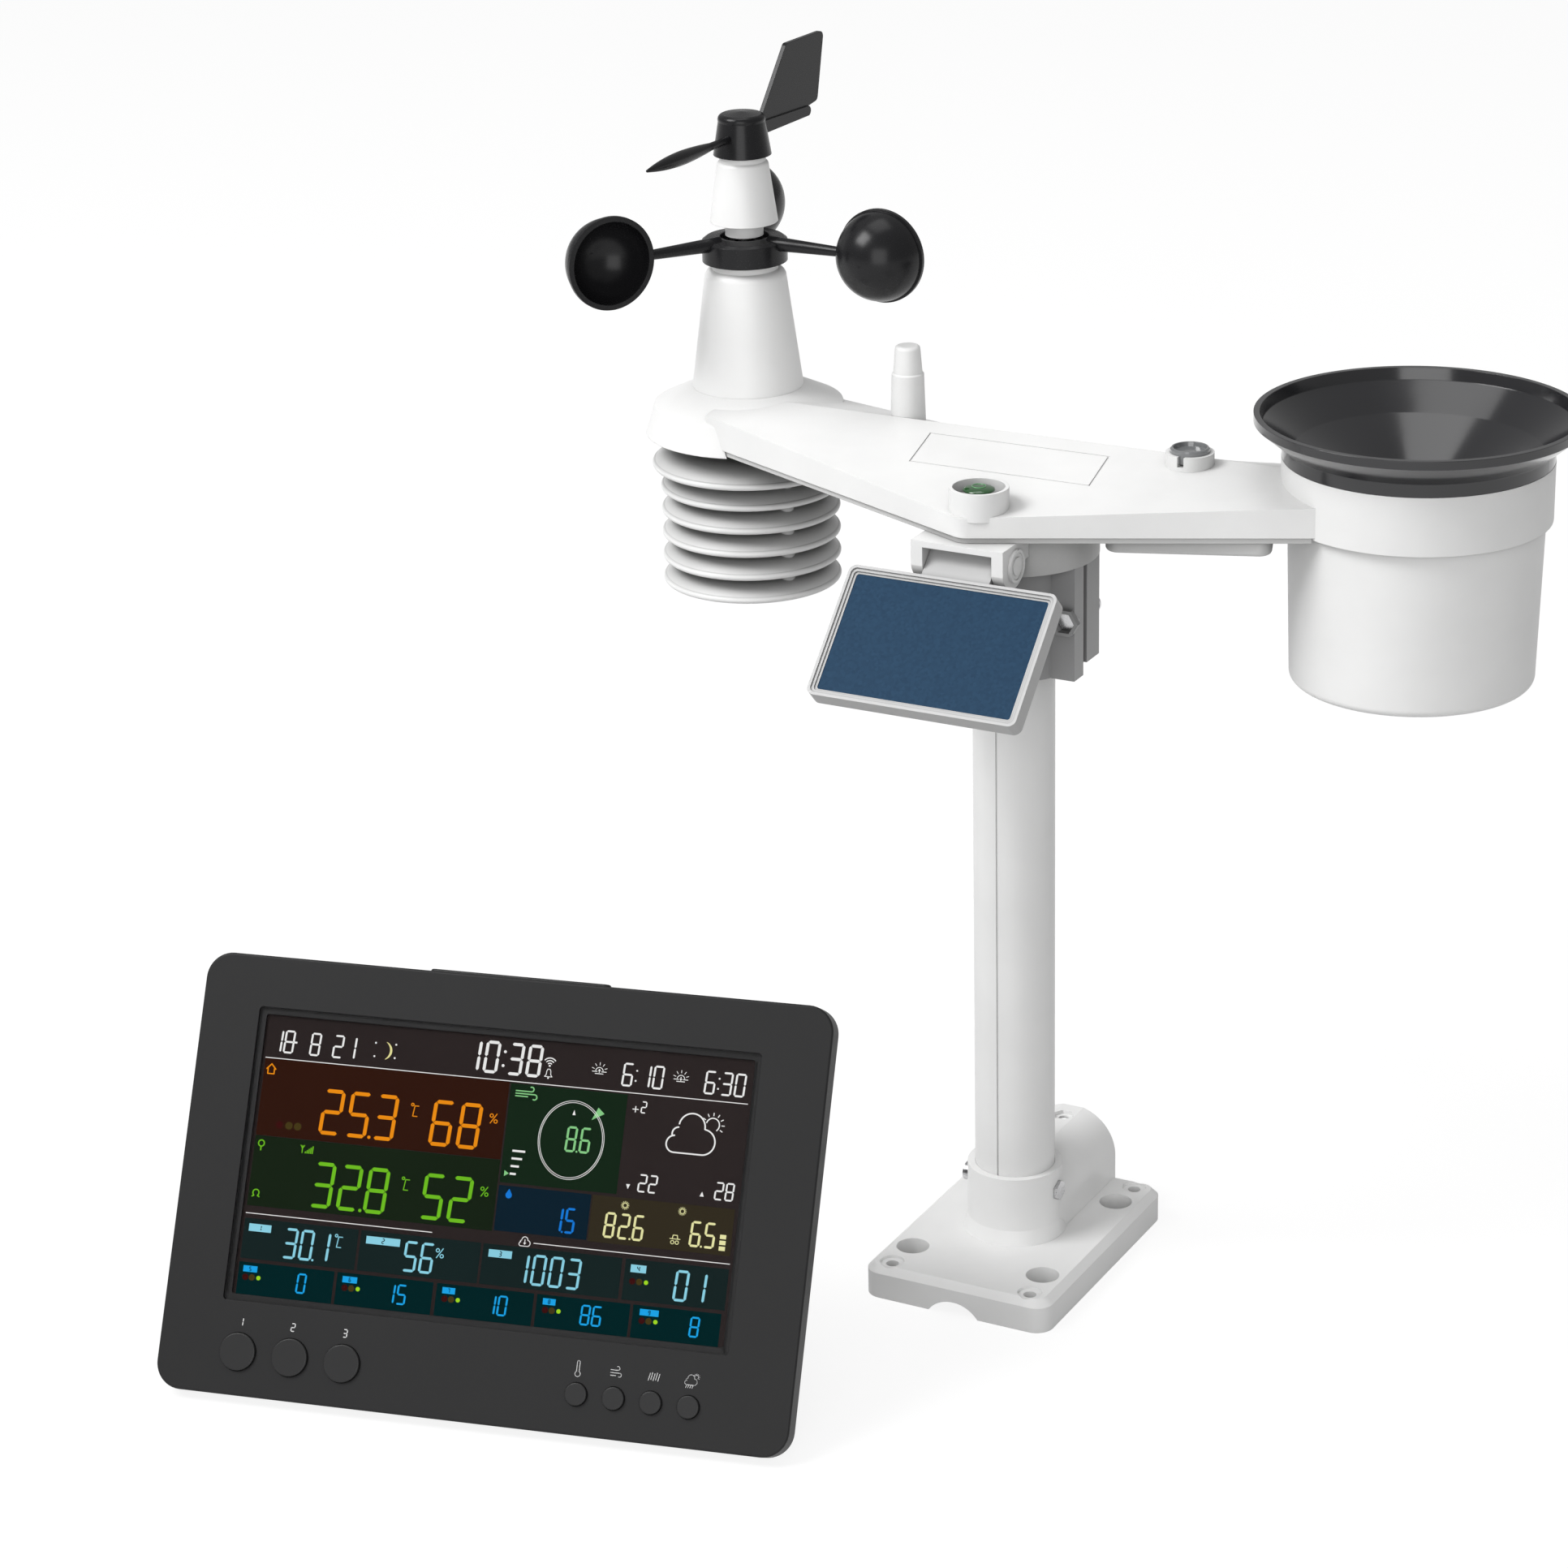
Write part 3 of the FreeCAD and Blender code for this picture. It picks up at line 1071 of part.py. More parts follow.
def console_back():
    outer = Part.makeLoft([console_wire(FACE_W - 1.2, FACE_H - 1.2, FACE_R, FACE_H / 2, FACE_T),
                           console_wire(BACK_W, BACK_H, BACK_R, BACK_Z, BACK_DEPTH)], True, True)
    w = BACK_WALL
    inner = Part.makeLoft([console_wire(FACE_W - 1.2 - 2 * w, FACE_H - 1.2 - 2 * w, FACE_R - 1, FACE_H / 2,
                                        FACE_T - 0.01),
                           console_wire(BACK_W - 2 * w, BACK_H - 2 * w, BACK_R - w, BACK_Z,
                                        BACK_DEPTH - w)], True, True)
    cuts = [inner]
    cuts.append(cylinder(JACK_R + 1.6, 20, (JACK_X, BACK_DEPTH - 8, JACK_Z), Y_AXIS))
    cuts.append(prism_y(rounded_outline(CELL_DOOR_W + 0.4, CELL_DOOR_H + 0.4, 2, CELL_DOOR_X, CELL_DOOR_Z),
                        BACK_DEPTH - 1.5, BACK_DEPTH + 5))
    cuts.append(cylinder(COIN_R + 0.4, 20, (CELL_DOOR_X, BACK_DEPTH - 8, CELL_DOOR_Z), Y_AXIS))
    for row in range(5):
        z = 96.0 + 6.0 * row
        cuts.append(prism_y(rounded_outline(40, 2.2, 1.0, 40, z), BACK_DEPTH - 8, BACK_DEPTH + 5))
    for x in (-60.0, 60.0):
        cuts.append(cylinder(3.6, 20, (x, BACK_DEPTH - 8, 84), Y_AXIS))
        cuts.append(box(x - 1.9, x + 1.9, BACK_DEPTH - 8, BACK_DEPTH + 5, 84, 91))
    cup = cylinder(COIN_R + 1.8, 6.5, (CELL_DOOR_X, BACK_DEPTH - 8.0, CELL_DOOR_Z), Y_AXIS)
    cup = cup.cut(cylinder(COIN_R + 0.15, 8, (CELL_DOOR_X, BACK_DEPTH - 1.5 - COIN_T, CELL_DOOR_Z), Y_AXIS))
    shell = outer.cut(cuts).fuse(cup)
    ears = []
    for x in (-LEG_W / 4, LEG_W / 4):
        ear = box(x - 4, x + 4, BACK_DEPTH - JOIN, leg_hinge_y(), LEG_HINGE_Z - LEG_HINGE_R,
                  LEG_HINGE_Z + LEG_HINGE_R)
        ears.append(ear.fuse(cylinder(LEG_HINGE_R, 8, (x - 4, leg_hinge_y(), LEG_HINGE_Z), X_AXIS)))
    pins = [cylinder(LEG_PIN_R, 16, (x - 8, leg_hinge_y(), LEG_HINGE_Z), X_AXIS)
            for x in (-LEG_W / 4, LEG_W / 4)]
    return on_console(fuse([shell] + ears + pins))


def console_window():
    pane = prism_y(rounded_outline(WINDOW_W - 0.2, WINDOW_H - 0.2, 1.4, WINDOW_X, WINDOW_Z),
                   WINDOW_SINK, WINDOW_SINK + WINDOW_T)
    return on_console(pane)


def console_display():
    glass = prism_y(rounded_outline(WINDOW_W - 2, WINDOW_H - 2, 1.0, WINDOW_X, WINDOW_Z),
                    FACE_WALL, FACE_WALL + LCD_T)
    return on_console(glass)


def console_board():
    y0 = FACE_WALL + LCD_T
    half = WINDOW_W / 2 - CONSOLE_BOARD_EDGE
    top = WINDOW_Z + WINDOW_H / 2 - CONSOLE_BOARD_DROP
    board = box(-half, half, y0, y0 + BOARD_T, CONSOLE_BOARD_FOOT, top)
    back = y0 + BOARD_T
    chips = [box(x, x + wide, back - 0.2, back + high, z, z + tall)
             for x, z, wide, tall, high in CONSOLE_BOARD_CHIPS]
    return on_console(fuse([board] + chips))


def key(radius, x, z):
    rest = FACE_WALL + 1.6
    cap = cylinder(radius, KEY_PROUD + rest, (x, -KEY_PROUD, z), Y_AXIS)
    rim = [e for e in cap.Edges if len(e.Vertexes) == 1 and e.Vertexes[0].Point.y < -KEY_PROUD / 2]
    cap = cap.makeFillet(0.5, rim)
    flange = cylinder(radius + 1.0, 0.8, (x, FACE_WALL + 0.1, z), Y_AXIS)
    return on_console(fuse([cap, flange]))


def snooze_key():
    bar = prism_z(snooze_outline(0), FACE_H - 5.2, FACE_H + SNOOZE_PROUD)
    top = [e for e in bar.Edges if all(abs(v.Point.z - FACE_H - SNOOZE_PROUD) < 1e-4 for v in e.Vertexes)]
    bar = bar.makeFillet(0.7, top)
    half = SNOOZE_W / 2 + 1.5
    catch = box(-half, half, FACE_WALL + 0.6, FACE_T - 2.2, FACE_H - 5.2, FACE_H - FACE_WALL - 0.1)
    return on_console(fuse([bar, catch]))


def leg_angle():
    """Angle of the open leg from the back of the console, so that its foot reaches the ground."""
    tilt = math.radians(RECLINE)
    hinge_height = (LEG_HINGE_Z * math.cos(tilt) - leg_hinge_y() * math.sin(tilt) + console_lift())
    return math.degrees(math.acos((hinge_height - LEG_T / 2) / leg_length())) + RECLINE


def leg_length():
    return LEG_HINGE_Z - 2.0


def stand_leg():
    y = leg_hinge_y()
    length = leg_length()
    plate = box(-LEG_W / 2, LEG_W / 2, y - LEG_T / 2, y + LEG_T / 2, LEG_HINGE_Z - length, LEG_HINGE_Z)
    window = box(-LEG_W / 2 + 14, LEG_W / 2 - 14, y - 5, y + 5, LEG_HINGE_Z - length + 12, LEG_HINGE_Z - 14)
    barrel = cylinder(LEG_HINGE_R - 0.2, LEG_W, (-LEG_W / 2, y, LEG_HINGE_Z), X_AXIS)
    leg = fuse([plate.cut(window), barrel])
    foot = cylinder(LEG_T / 2, LEG_W, (-LEG_W / 2, y, LEG_HINGE_Z - length), X_AXIS)
    leg = fuse([leg, foot])
    cuts = []
    for x in (-LEG_W / 4, LEG_W / 4):
        cuts.append(box(x - 4.3, x + 4.3, y - 6, y + 6, LEG_HINGE_Z - 5.3, LEG_HINGE_Z + 5))
        cuts.append(cylinder(LEG_PIN_R + FIT, 18, (x - 9, y, LEG_HINGE_Z), X_AXIS))
    leg = leg.cut(cuts)
    leg.rotate(V(0, y, LEG_HINGE_Z), X_AXIS, leg_angle())
    return on_console(leg)


def cell_door():
    door = prism_y(rounded_outline(CELL_DOOR_W, CELL_DOOR_H, 2, CELL_DOOR_X, CELL_DOOR_Z),
                   BACK_DEPTH - 1.4, BACK_DEPTH)
    return on_console(door)


def coin_cell():
    return on_console(cylinder(COIN_R, COIN_T, (CELL_DOOR_X, BACK_DEPTH - 1.5 - COIN_T, CELL_DOOR_Z), Y_AXIS))


def power_jack():
    block = cylinder(JACK_R + 1.5, 10, (JACK_X, BACK_DEPTH - 10.3, JACK_Z), Y_AXIS)
    bore = cylinder(JACK_R, 9, (JACK_X, BACK_DEPTH - 8.5, JACK_Z), Y_AXIS)
    pin = cylinder(1.0, 7, (JACK_X, BACK_DEPTH - 9, JACK_Z), Y_AXIS)
    return on_console(fuse([block.cut(bore), pin]))


PARTS = {
    "base_plate": base_plate, "pole": pole, "pole_bolt": pole_bolt,
    "clamp_front": clamp_front, "clamp_rear": clamp_rear, "clamp_screws": clamp_screws,
    "arm_top_case": arm_top_case, "arm_bottom_case": arm_bottom_case, "case_screws": case_screws,
    "antenna": antenna, "level_vial": level_vial, "light_lens": light_lens,
    "wind_tower": wind_tower, "tower_post": tower_post, "wind_bearings": wind_bearings,
    "upper_cone": upper_cone, "rotor_hub": rotor_hub, "rotor_magnet": rotor_magnet,
    "vane_hub": vane_hub, "vane_tail": vane_tail, "vane_pointer": vane_pointer, "vane_magnet": vane_magnet,
    "louvre_top": louvre_top, "louvre_stack": louvre_stack, "louvre_rods": louvre_rods,
    "sensor_board": sensor_board, "main_board": main_board,
    "battery_cells": battery_cells, "battery_door": battery_door,
    "rain_bucket": rain_bucket, "rain_funnel": rain_funnel, "tipping_bucket": tipping_bucket,
    "tipper_cradle": tipper_cradle, "tipper_pin": tipper_pin, "reed_board": reed_board,
    "panel_yoke": panel_yoke, "panel_pin": panel_pin, "panel_frame": panel_frame, "panel_cell": panel_cell,
    "console_front": console_front, "console_back": console_back, "console_window": console_window,
    "console_display": console_display, "console_board": console_board,
    "snooze_key": snooze_key, "stand_leg": stand_leg, "cell_door": cell_door, "coin_cell": coin_cell,
    "power_jack": power_jack,
}


def main():
    os.makedirs("parts", exist_ok=True)
    shapes = {name: make() for name, make in PARTS.items()}
    for index in range(CUP_COUNT):
        shapes["wind_cup_%d" % (index + 1)] = wind_cup(index)
    for index, x in enumerate(ROUND_KEYS):
        shapes["round_key_%d" % (index + 1)] = key(ROUND_KEY_R, x, ROUND_KEY_Z)
    for index, x in enumerate(SMALL_KEYS):
        shapes["small_key_%d" % (index + 1)] = key(SMALL_KEY_R, x, SMALL_KEY_Z)
    for name, shape in shapes.items():
        shape.exportStep("parts/%s.step" % name)
        box_of = shape.BoundBox
        print(name, len(shape.Solids), "solids", round(shape.Volume), "mm3 valid", shape.isValid(),
              [round(v, 1) for v in (box_of.XMin, box_of.YMin, box_of.ZMin,
                                     box_of.XMax, box_of.YMax, box_of.ZMax)])


main()
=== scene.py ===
# %% [markdown]
# # Home weather station
# The outdoor set stands on a short pole; the desk console leans back on its leg beside it.
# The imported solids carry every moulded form, so this lesson spends its effort on finishes, on the
# lit display and on the small printed marks. We start by loading the solids as a fixed frame.

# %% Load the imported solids
import bmesh
import bpy
import json
import math
from mathutils import Matrix, Vector


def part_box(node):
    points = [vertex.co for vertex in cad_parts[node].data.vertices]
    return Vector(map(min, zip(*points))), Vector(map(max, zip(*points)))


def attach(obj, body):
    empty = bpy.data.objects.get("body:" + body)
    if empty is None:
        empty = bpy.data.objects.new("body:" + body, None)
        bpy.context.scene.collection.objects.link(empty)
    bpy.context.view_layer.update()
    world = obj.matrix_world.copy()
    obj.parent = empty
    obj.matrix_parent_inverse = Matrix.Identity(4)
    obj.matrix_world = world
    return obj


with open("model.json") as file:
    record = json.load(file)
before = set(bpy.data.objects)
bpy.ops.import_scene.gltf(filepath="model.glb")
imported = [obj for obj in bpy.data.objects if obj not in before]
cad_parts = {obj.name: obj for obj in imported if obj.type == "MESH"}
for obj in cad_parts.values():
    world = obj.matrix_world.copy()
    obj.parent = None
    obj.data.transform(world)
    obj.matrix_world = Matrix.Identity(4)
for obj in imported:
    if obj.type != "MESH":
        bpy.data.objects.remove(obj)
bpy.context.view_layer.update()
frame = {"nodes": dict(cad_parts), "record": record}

nodes = frame["nodes"]

# %% [markdown]
# ## Camera
# The camera stands to the right and well above, and looks down at the set with a long lens. A long
# lens keeps the tower and the gauge almost the same size although one is farther away.

# %% Place the camera
MM = 0.001
CAMERA_PLACE = Vector((665.85, -1407.08, 815.55)) * MM
CAMERA_TURN = math.radians(28.518)
CAMERA_DOWN = math.radians(21.580)
CAMERA_ROLL = math.radians(-1.322)
SENSOR = 36.0
LENS = 101.835


def camera_axes(turn, down, roll):
    """Right, up and back directions of a camera from its turn, its tilt down and its roll."""
    back = Vector((math.sin(turn) * math.cos(down), -math.cos(turn) * math.cos(down),
                   math.sin(down)))
    right = Vector((0, 0, 1)).cross(back).normalized()
    up = back.cross(right)
    leaning_right = right * math.cos(roll) + up * math.sin(roll)
    leaning_up = up * math.cos(roll) - right * math.sin(roll)
    return leaning_right, leaning_up, back


camera = bpy.data.objects.new("camera", bpy.data.cameras.new("camera"))
bpy.context.scene.collection.objects.link(camera)
right, up, back = camera_axes(CAMERA_TURN, CAMERA_DOWN, CAMERA_ROLL)
camera_turned = Matrix((right, up, back)).transposed().to_4x4()
camera.matrix_world = Matrix.Translation(CAMERA_PLACE) @ camera_turned
camera.data.sensor_width = SENSOR
camera.data.lens = LENS
camera.data.clip_end = 50
bpy.context.scene.camera = camera
print("camera looks along", -back)

# %% [markdown]
# ## Two helpers for finishes
# Every finish in this lesson is a small tree of shader nodes. Building one means emptying a tree
# and adding nodes with their settings, so two short helpers do just that.

# %% Finish helpers
scene = bpy.context.scene
scene.view_settings.view_transform = "Standard"


def node_tree(owner):
    """An empty node tree of a material or a world."""
    owner.use_nodes = True
    owner.node_tree.nodes.clear()
    return owner.node_tree


def add(tree, kind, **values):
    """Add a node and set its inputs by name."""
    made = tree.nodes.new(kind)
    for name, value in values.items():
        made.inputs[name.replace("_", " ")].default_value = value
    return made


print("view transform:", scene.view_settings.view_transform)

# %% [markdown]
# ## Floor
# White things on a white floor are only drawn by soft shade, so the floor itself stays mid grey to
# the lamps and keeps the shadow. It is lifted towards white only where the camera, a mirror or a
# clear piece looks at it: that makes it pale without throwing more light on the object.

# %% Pale floor
FLOOR_SIZE = 24.0
FLOOR_COLOUR = (0.40, 0.40, 0.40, 1)
FLOOR_LIFT = 0.55
FLOOR_WHITE = 1.56


def floor_finish():
    """Matt grey for the lamps, mixed with a white glow for the rays that see it directly."""
    material = bpy.data.materials.new("pale floor")
    tree = node_tree(material)
    output = add(tree, "ShaderNodeOutputMaterial")
    matt = add(tree, "ShaderNodeBsdfDiffuse", Color=FLOOR_COLOUR)
    white = add(tree, "ShaderNodeEmission", Color=(1, 1, 1, 1), Strength=FLOOR_WHITE)
    path = add(tree, "ShaderNodeLightPath")
    seen = path.outputs["Is Camera Ray"]
    for ray in ("Is Glossy Ray", "Is Transmission Ray"):
        either = add(tree, "ShaderNodeMath")
        either.operation = "MAXIMUM"
        tree.links.new(seen, either.inputs[0])
        tree.links.new(path.outputs[ray], either.inputs[1])
        seen = either.outputs[0]
    part = add(tree, "ShaderNodeMath")
    part.operation = "MULTIPLY"
    part.inputs[1].default_value = FLOOR_LIFT
    mix = add(tree, "ShaderNodeMixShader")
    tree.links.new(seen, part.inputs[0])
    tree.links.new(part.outputs[0], mix.inputs[0])
    tree.links.new(matt.outputs[0], mix.inputs[1])
    tree.links.new(white.outputs[0], mix.inputs[2])
    tree.links.new(mix.outputs[0], output.inputs[0])
    return material


half = FLOOR_SIZE / 2
floor_corners = [(-half, -half, 0), (half, -half, 0), (half, half, 0), (-half, half, 0)]
floor_mesh = bpy.data.meshes.new("floor")
floor_mesh.from_pydata(floor_corners, [], [(0, 1, 2, 3)])
floor = bpy.data.objects.new("floor", floor_mesh)
floor.data.materials.append(floor_finish())
scene.collection.objects.link(floor)
print("floor:", FLOOR_SIZE, "metres wide")

# %% [markdown]
# ## Sky and lamps
# A weak white sky fills every shadow a little. One large lamp high on the left gives the shape, a
# low one in front opens the faces that look at the camera, and a third from above lights the arm.

# %% Sky and lamps
SKY = 0.40
AIM = (0.0, 0.0, 0.25)
LAMPS = {
    "key lamp": ((-1.3, -1.3, 2.2), 1.2, 52),
    "fill lamp": ((0.8, -2.2, 0.9), 1.6, 20),
    "top lamp": ((-0.3, 0.2, 2.6), 1.4, 12),
}
world = bpy.data.worlds.new("sky")
scene.world = world
sky_tree = node_tree(world)
sky_output = add(sky_tree, "ShaderNodeOutputWorld")
sky = add(sky_tree, "ShaderNodeBackground", Color=(1, 1, 1, 1), Strength=SKY)
sky_tree.links.new(sky.outputs[0], sky_output.inputs[0])


def soft_lamp(name, place, size, watts):
    """A square soft lamp that faces the middle of the set."""
    light = bpy.data.lights.new(name, "AREA")
    light.size = size
    light.energy = watts
    holder = bpy.data.objects.new(name, light)
    holder.location = place
    holder.rotation_euler = (Vector(AIM) - Vector(place)).to_track_quat("-Z", "Y").to_euler()
    scene.collection.objects.link(holder)


for lamp_name, (place, size, watts) in LAMPS.items():
    soft_lamp(lamp_name, place, size, watts)
print("lamps:", list(LAMPS))

# %% [markdown]
# ## Moulded plastic
# Most pieces are injection moulded. A fine spark texture breaks up the gloss, the colour drifts a
# little, and no real edge is knife sharp. The bevel node rounds the shading of each edge, the noise
# gives the grain, and both together stay cheap because the mesh itself is not touched. Corners and
# the undersides of overhangs get painted shade: an occlusion node darkens their colour.

# %% Moulded plastic finish
SPARK_SIZE = 0.45           # millimetres of one fleck of the spark texture
SPARK_DEPTH = 0.1 * MM
DRIFT_SCALE = 28.0
COAT_ROUGHNESS = 0.12
SHINE_SPREAD = 0.05


def moulded_plastic(name, colour, roughness, grain=0.12, drift=0.03, edge=0.35, coat=0.0,
                    painted_shade=0.0, gloss=0.5, reach=60.0):
    """Plastic with a fine grain, slight colour drift and rounded edges.

    edge is the shaded rounding and reach the width of a corner, in millimetres. painted_shade is
    how far the colour is darkened in such a corner: painted shade of corners and overhangs.
    """
    material = bpy.data.materials.new(name)
    tree = node_tree(material)
    output = add(tree, "ShaderNodeOutputMaterial")
    surface = add(tree, "ShaderNodeBsdfPrincipled")
    surface.inputs["Specular IOR Level"].default_value = gloss
    surface.inputs["Coat Weight"].default_value = coat
    surface.inputs["Coat Roughness"].default_value = COAT_ROUGHNESS
    place = add(tree, "ShaderNodeTexCoord")
    cloud = add(tree, "ShaderNodeTexNoise", Scale=DRIFT_SCALE, Detail=3.0)
    tint = add(tree, "ShaderNodeValToRGB")
    tint.color_ramp.elements[0].position = 0.3
    tint.color_ramp.elements[1].position = 0.7
    tint.color_ramp.elements[0].color = tuple(c * (1 - drift) for c in colour) + (1,)
    tint.color_ramp.elements[1].color = tuple(min(1, c * (1 + drift)) for c in colour) + (1,)
    spark = add(tree, "ShaderNodeTexNoise", Scale=1 / (SPARK_SIZE * MM), Detail=2.0)
    shine = add(tree, "ShaderNodeMapRange")
    shine.inputs["To Min"].default_value = roughness - SHINE_SPREAD
    shine.inputs["To Max"].default_value = roughness + SHINE_SPREAD
    soft_edge = add(tree, "ShaderNodeBevel", Radius=edge * MM)
    soft_edge.samples = 4
    bump = add(tree, "ShaderNodeBump", Strength=grain, Distance=SPARK_DEPTH)
    link = tree.links.new
    link(place.outputs["Object"], cloud.inputs["Vector"])
    link(place.outputs["Object"], spark.inputs["Vector"])
    link(cloud.outputs[0], tint.inputs[0])
    # painted shade: an occlusion node darkens the colour in corners and under overhangs
    if painted_shade:
        corner = add(tree, "ShaderNodeAmbientOcclusion", Distance=reach * MM)
        corner.samples = 6
        darken = add(tree, "ShaderNodeMapRange")
        darken.inputs["To Min"].default_value = 1 - painted_shade
        scaled = add(tree, "ShaderNodeVectorMath")
        scaled.operation = "SCALE"
        link(corner.outputs["AO"], darken.inputs[0])
        link(tint.outputs[0], scaled.inputs[0])
        link(darken.outputs[0], scaled.inputs["Scale"])
        link(scaled.outputs[0], surface.inputs["Base Color"])
    else:
        link(tint.outputs[0], surface.inputs["Base Color"])
    link(spark.outputs[0], shine.inputs[0])
    link(shine.outputs[0], surface.inputs["Roughness"])
    link(spark.outputs[0], bump.inputs["Height"])
    link(soft_edge.outputs[0], bump.inputs["Normal"])
    link(bump.outputs[0], surface.inputs["Normal"])
    link(surface.outputs[0], output.inputs[0])
    return material


print("plastic finish ready")

# %% [markdown]
# ## The plastics of this station
# The outdoor set is one white plastic, in copies that differ by painted light and shade: the open
# pieces are painted lightest, and the louvres, the lower case under the arm and the clamps carry
# the most painted shade. The wind pieces are black with a soft shine, the funnel is glossier, and
# the console is a fine grained charcoal.

# %% Plastics of the station
WHITE = (0.84, 0.84, 0.835)
white_case = moulded_plastic("white case plastic", WHITE, 0.42, painted_shade=0.45)
# painted light: this copy of the white plastic is lighter and barely shaded
white_painted_light = moulded_plastic("white plastic with painted light", (0.86, 0.86, 0.855), 0.42, painted_shade=0.12)
white_tube = moulded_plastic("white tube", WHITE, 0.36, grain=0.05, painted_shade=0.40)
white_small = moulded_plastic("white small mouldings", (0.82, 0.82, 0.815), 0.38, grain=0.06,
                              edge=0.2, painted_shade=0.8)
# painted shade: the pieces under the arm are a darker copy of the white plastic
white_painted_shade_under_arm = moulded_plastic("white plastic with painted shade under the arm", (0.62, 0.62, 0.615), 0.42,
                              painted_shade=0.85)
# painted shade: the clamps are white plastic, coloured grey for the shade under the arm
clamp_painted_shade = moulded_plastic("clamp plastic", (0.36, 0.36, 0.363), 0.42, grain=0.08, painted_shade=0.6)
grey_frame = moulded_plastic("panel frame plastic", (0.43, 0.43, 0.43), 0.40, grain=0.06,
                             edge=0.1, painted_shade=0.9, reach=2.5)
black_funnel = moulded_plastic("black funnel plastic", (0.012, 0.012, 0.014), 0.16, grain=0.02,
                               edge=0.5, coat=0.4)
black_wind = moulded_plastic("black wind plastic", (0.010, 0.010, 0.011), 0.26, grain=0.03,
                             edge=0.4, gloss=0.25)
charcoal_case = moulded_plastic("charcoal console plastic", (0.015, 0.015, 0.0155), 0.48,
                                grain=0.18, gloss=0.22)
key_rubber = moulded_plastic("soft key caps", (0.017, 0.017, 0.0175), 0.40, grain=0.05,
                             edge=0.3, gloss=0.3)
lens_plastic = moulded_plastic("sensor dome", (0.16, 0.165, 0.17), 0.12, grain=0.0, coat=1.0)
board_green = moulded_plastic("circuit board lacquer", (0.02, 0.16, 0.06), 0.35, grain=0.1)
cell_wrap = moulded_plastic("battery wrap", (0.09, 0.09, 0.10), 0.3, grain=0.02)
print("plastics made:", len(bpy.data.materials))

# %% [markdown]
# ## Metal
# Screws, pins and the tower's post are bright steel. Fine turning marks make their shine uneven, so
# a small noise moves the roughness up and down.

# %% Steel and magnet finishes
TURNING_MARKS = 1800.0


def bright_steel(name, colour, roughness):
    """Bare metal whose shine varies from spot to spot."""
    material = bpy.data.materials.new(name)
    tree = node_tree(material)
    output = add(tree, "ShaderNodeOutputMaterial")
    surface = add(tree, "ShaderNodeBsdfPrincipled", Base_Color=colour + (1,), Metallic=1.0)
    place = add(tree, "ShaderNodeTexCoord")
    marks = add(tree, "ShaderNodeTexNoise", Scale=TURNING_MARKS, Detail=2.0)
    shine = add(tree, "ShaderNodeMapRange")
    shine.inputs["To Min"].default_value = roughness - 0.08
    shine.inputs["To Max"].default_value = roughness + 0.10
    tree.links.new(place.outputs["Object"], marks.inputs["Vector"])
    tree.links.new(marks.outputs[0], shine.inputs[0])
    tree.links.new(shine.outputs[0], surface.inputs["Roughness"])
    tree.links.new(surface.outputs[0], output.inputs[0])
    return material


steel = bright_steel("bright steel", (0.62, 0.62, 0.63), 0.28)
dark_magnet = bright_steel("plated magnet", (0.34, 0.34, 0.35), 0.35)
print("metals:", steel.name, dark_magnet.name)

# %% [markdown]
# ## Window, vial and unlit display
# The display window is nearly invisible, so it is a thin clear coat with low alpha and not true
# glass: it lets the lit marks through without noise. The vial holds a green fluid under clear
# plastic, and the unlit display is a warm black with hardly any gloss.

# %% Window, vial and display finishes
WINDOW_SHOWS = 0.03


def clear_window():
    """A clear sheet that only its faint gloss gives away."""
    material = bpy.data.materials.new("display window")
    tree = node_tree(material)
    output = add(tree, "ShaderNodeOutputMaterial")
    surface = add(tree, "ShaderNodeBsdfPrincipled", Base_Color=(0.0, 0.0, 0.0, 1),
                  Alpha=WINDOW_SHOWS)
    place = add(tree, "ShaderNodeTexCoord")
    haze = add(tree, "ShaderNodeTexNoise", Scale=40.0)
    shine = add(tree, "ShaderNodeMapRange")
    shine.inputs["To Min"].default_value = 0.04
    shine.inputs["To Max"].default_value = 0.09
    tree.links.new(place.outputs["Object"], haze.inputs["Vector"])
    tree.links.new(haze.outputs[0], shine.inputs[0])
    tree.links.new(shine.outputs[0], surface.inputs["Roughness"])
    tree.links.new(surface.outputs[0], output.inputs[0])
    return material


window_clear = clear_window()
vial_green = moulded_plastic("green vial", (0.010, 0.075, 0.014), 0.10, grain=0.0, drift=0.3,
                             coat=1.0)
bubble_green = moulded_plastic("bubble ring", (0.10, 0.30, 0.12), 0.10, grain=0.0, coat=1.0)
vial_seat = moulded_plastic("grey vial seat", (0.30, 0.30, 0.30), 0.35, grain=0.05)
display_black = moulded_plastic("unlit display", (0.0165, 0.0110, 0.0108), 0.30, grain=0.0,
                                drift=0.05, gloss=0.1)
print("finishes so far:", len(bpy.data.materials))

# %% [markdown]
# ## Solar cell
# The panel is a dark blue cell under matt resin. Close up it is made of small crystal flakes, each
# with its own shade of blue: that is a cell pattern, turned by the panel's tilt so that the flakes
# lie in its plane.

# %% Solar cell finish
PANEL_TILT = math.radians(45.0)
FLAKES = 900.0
DEEP_BLUE = (0.006, 0.032, 0.072, 1)
FLAKE_BLUE = (0.011, 0.045, 0.093, 1)


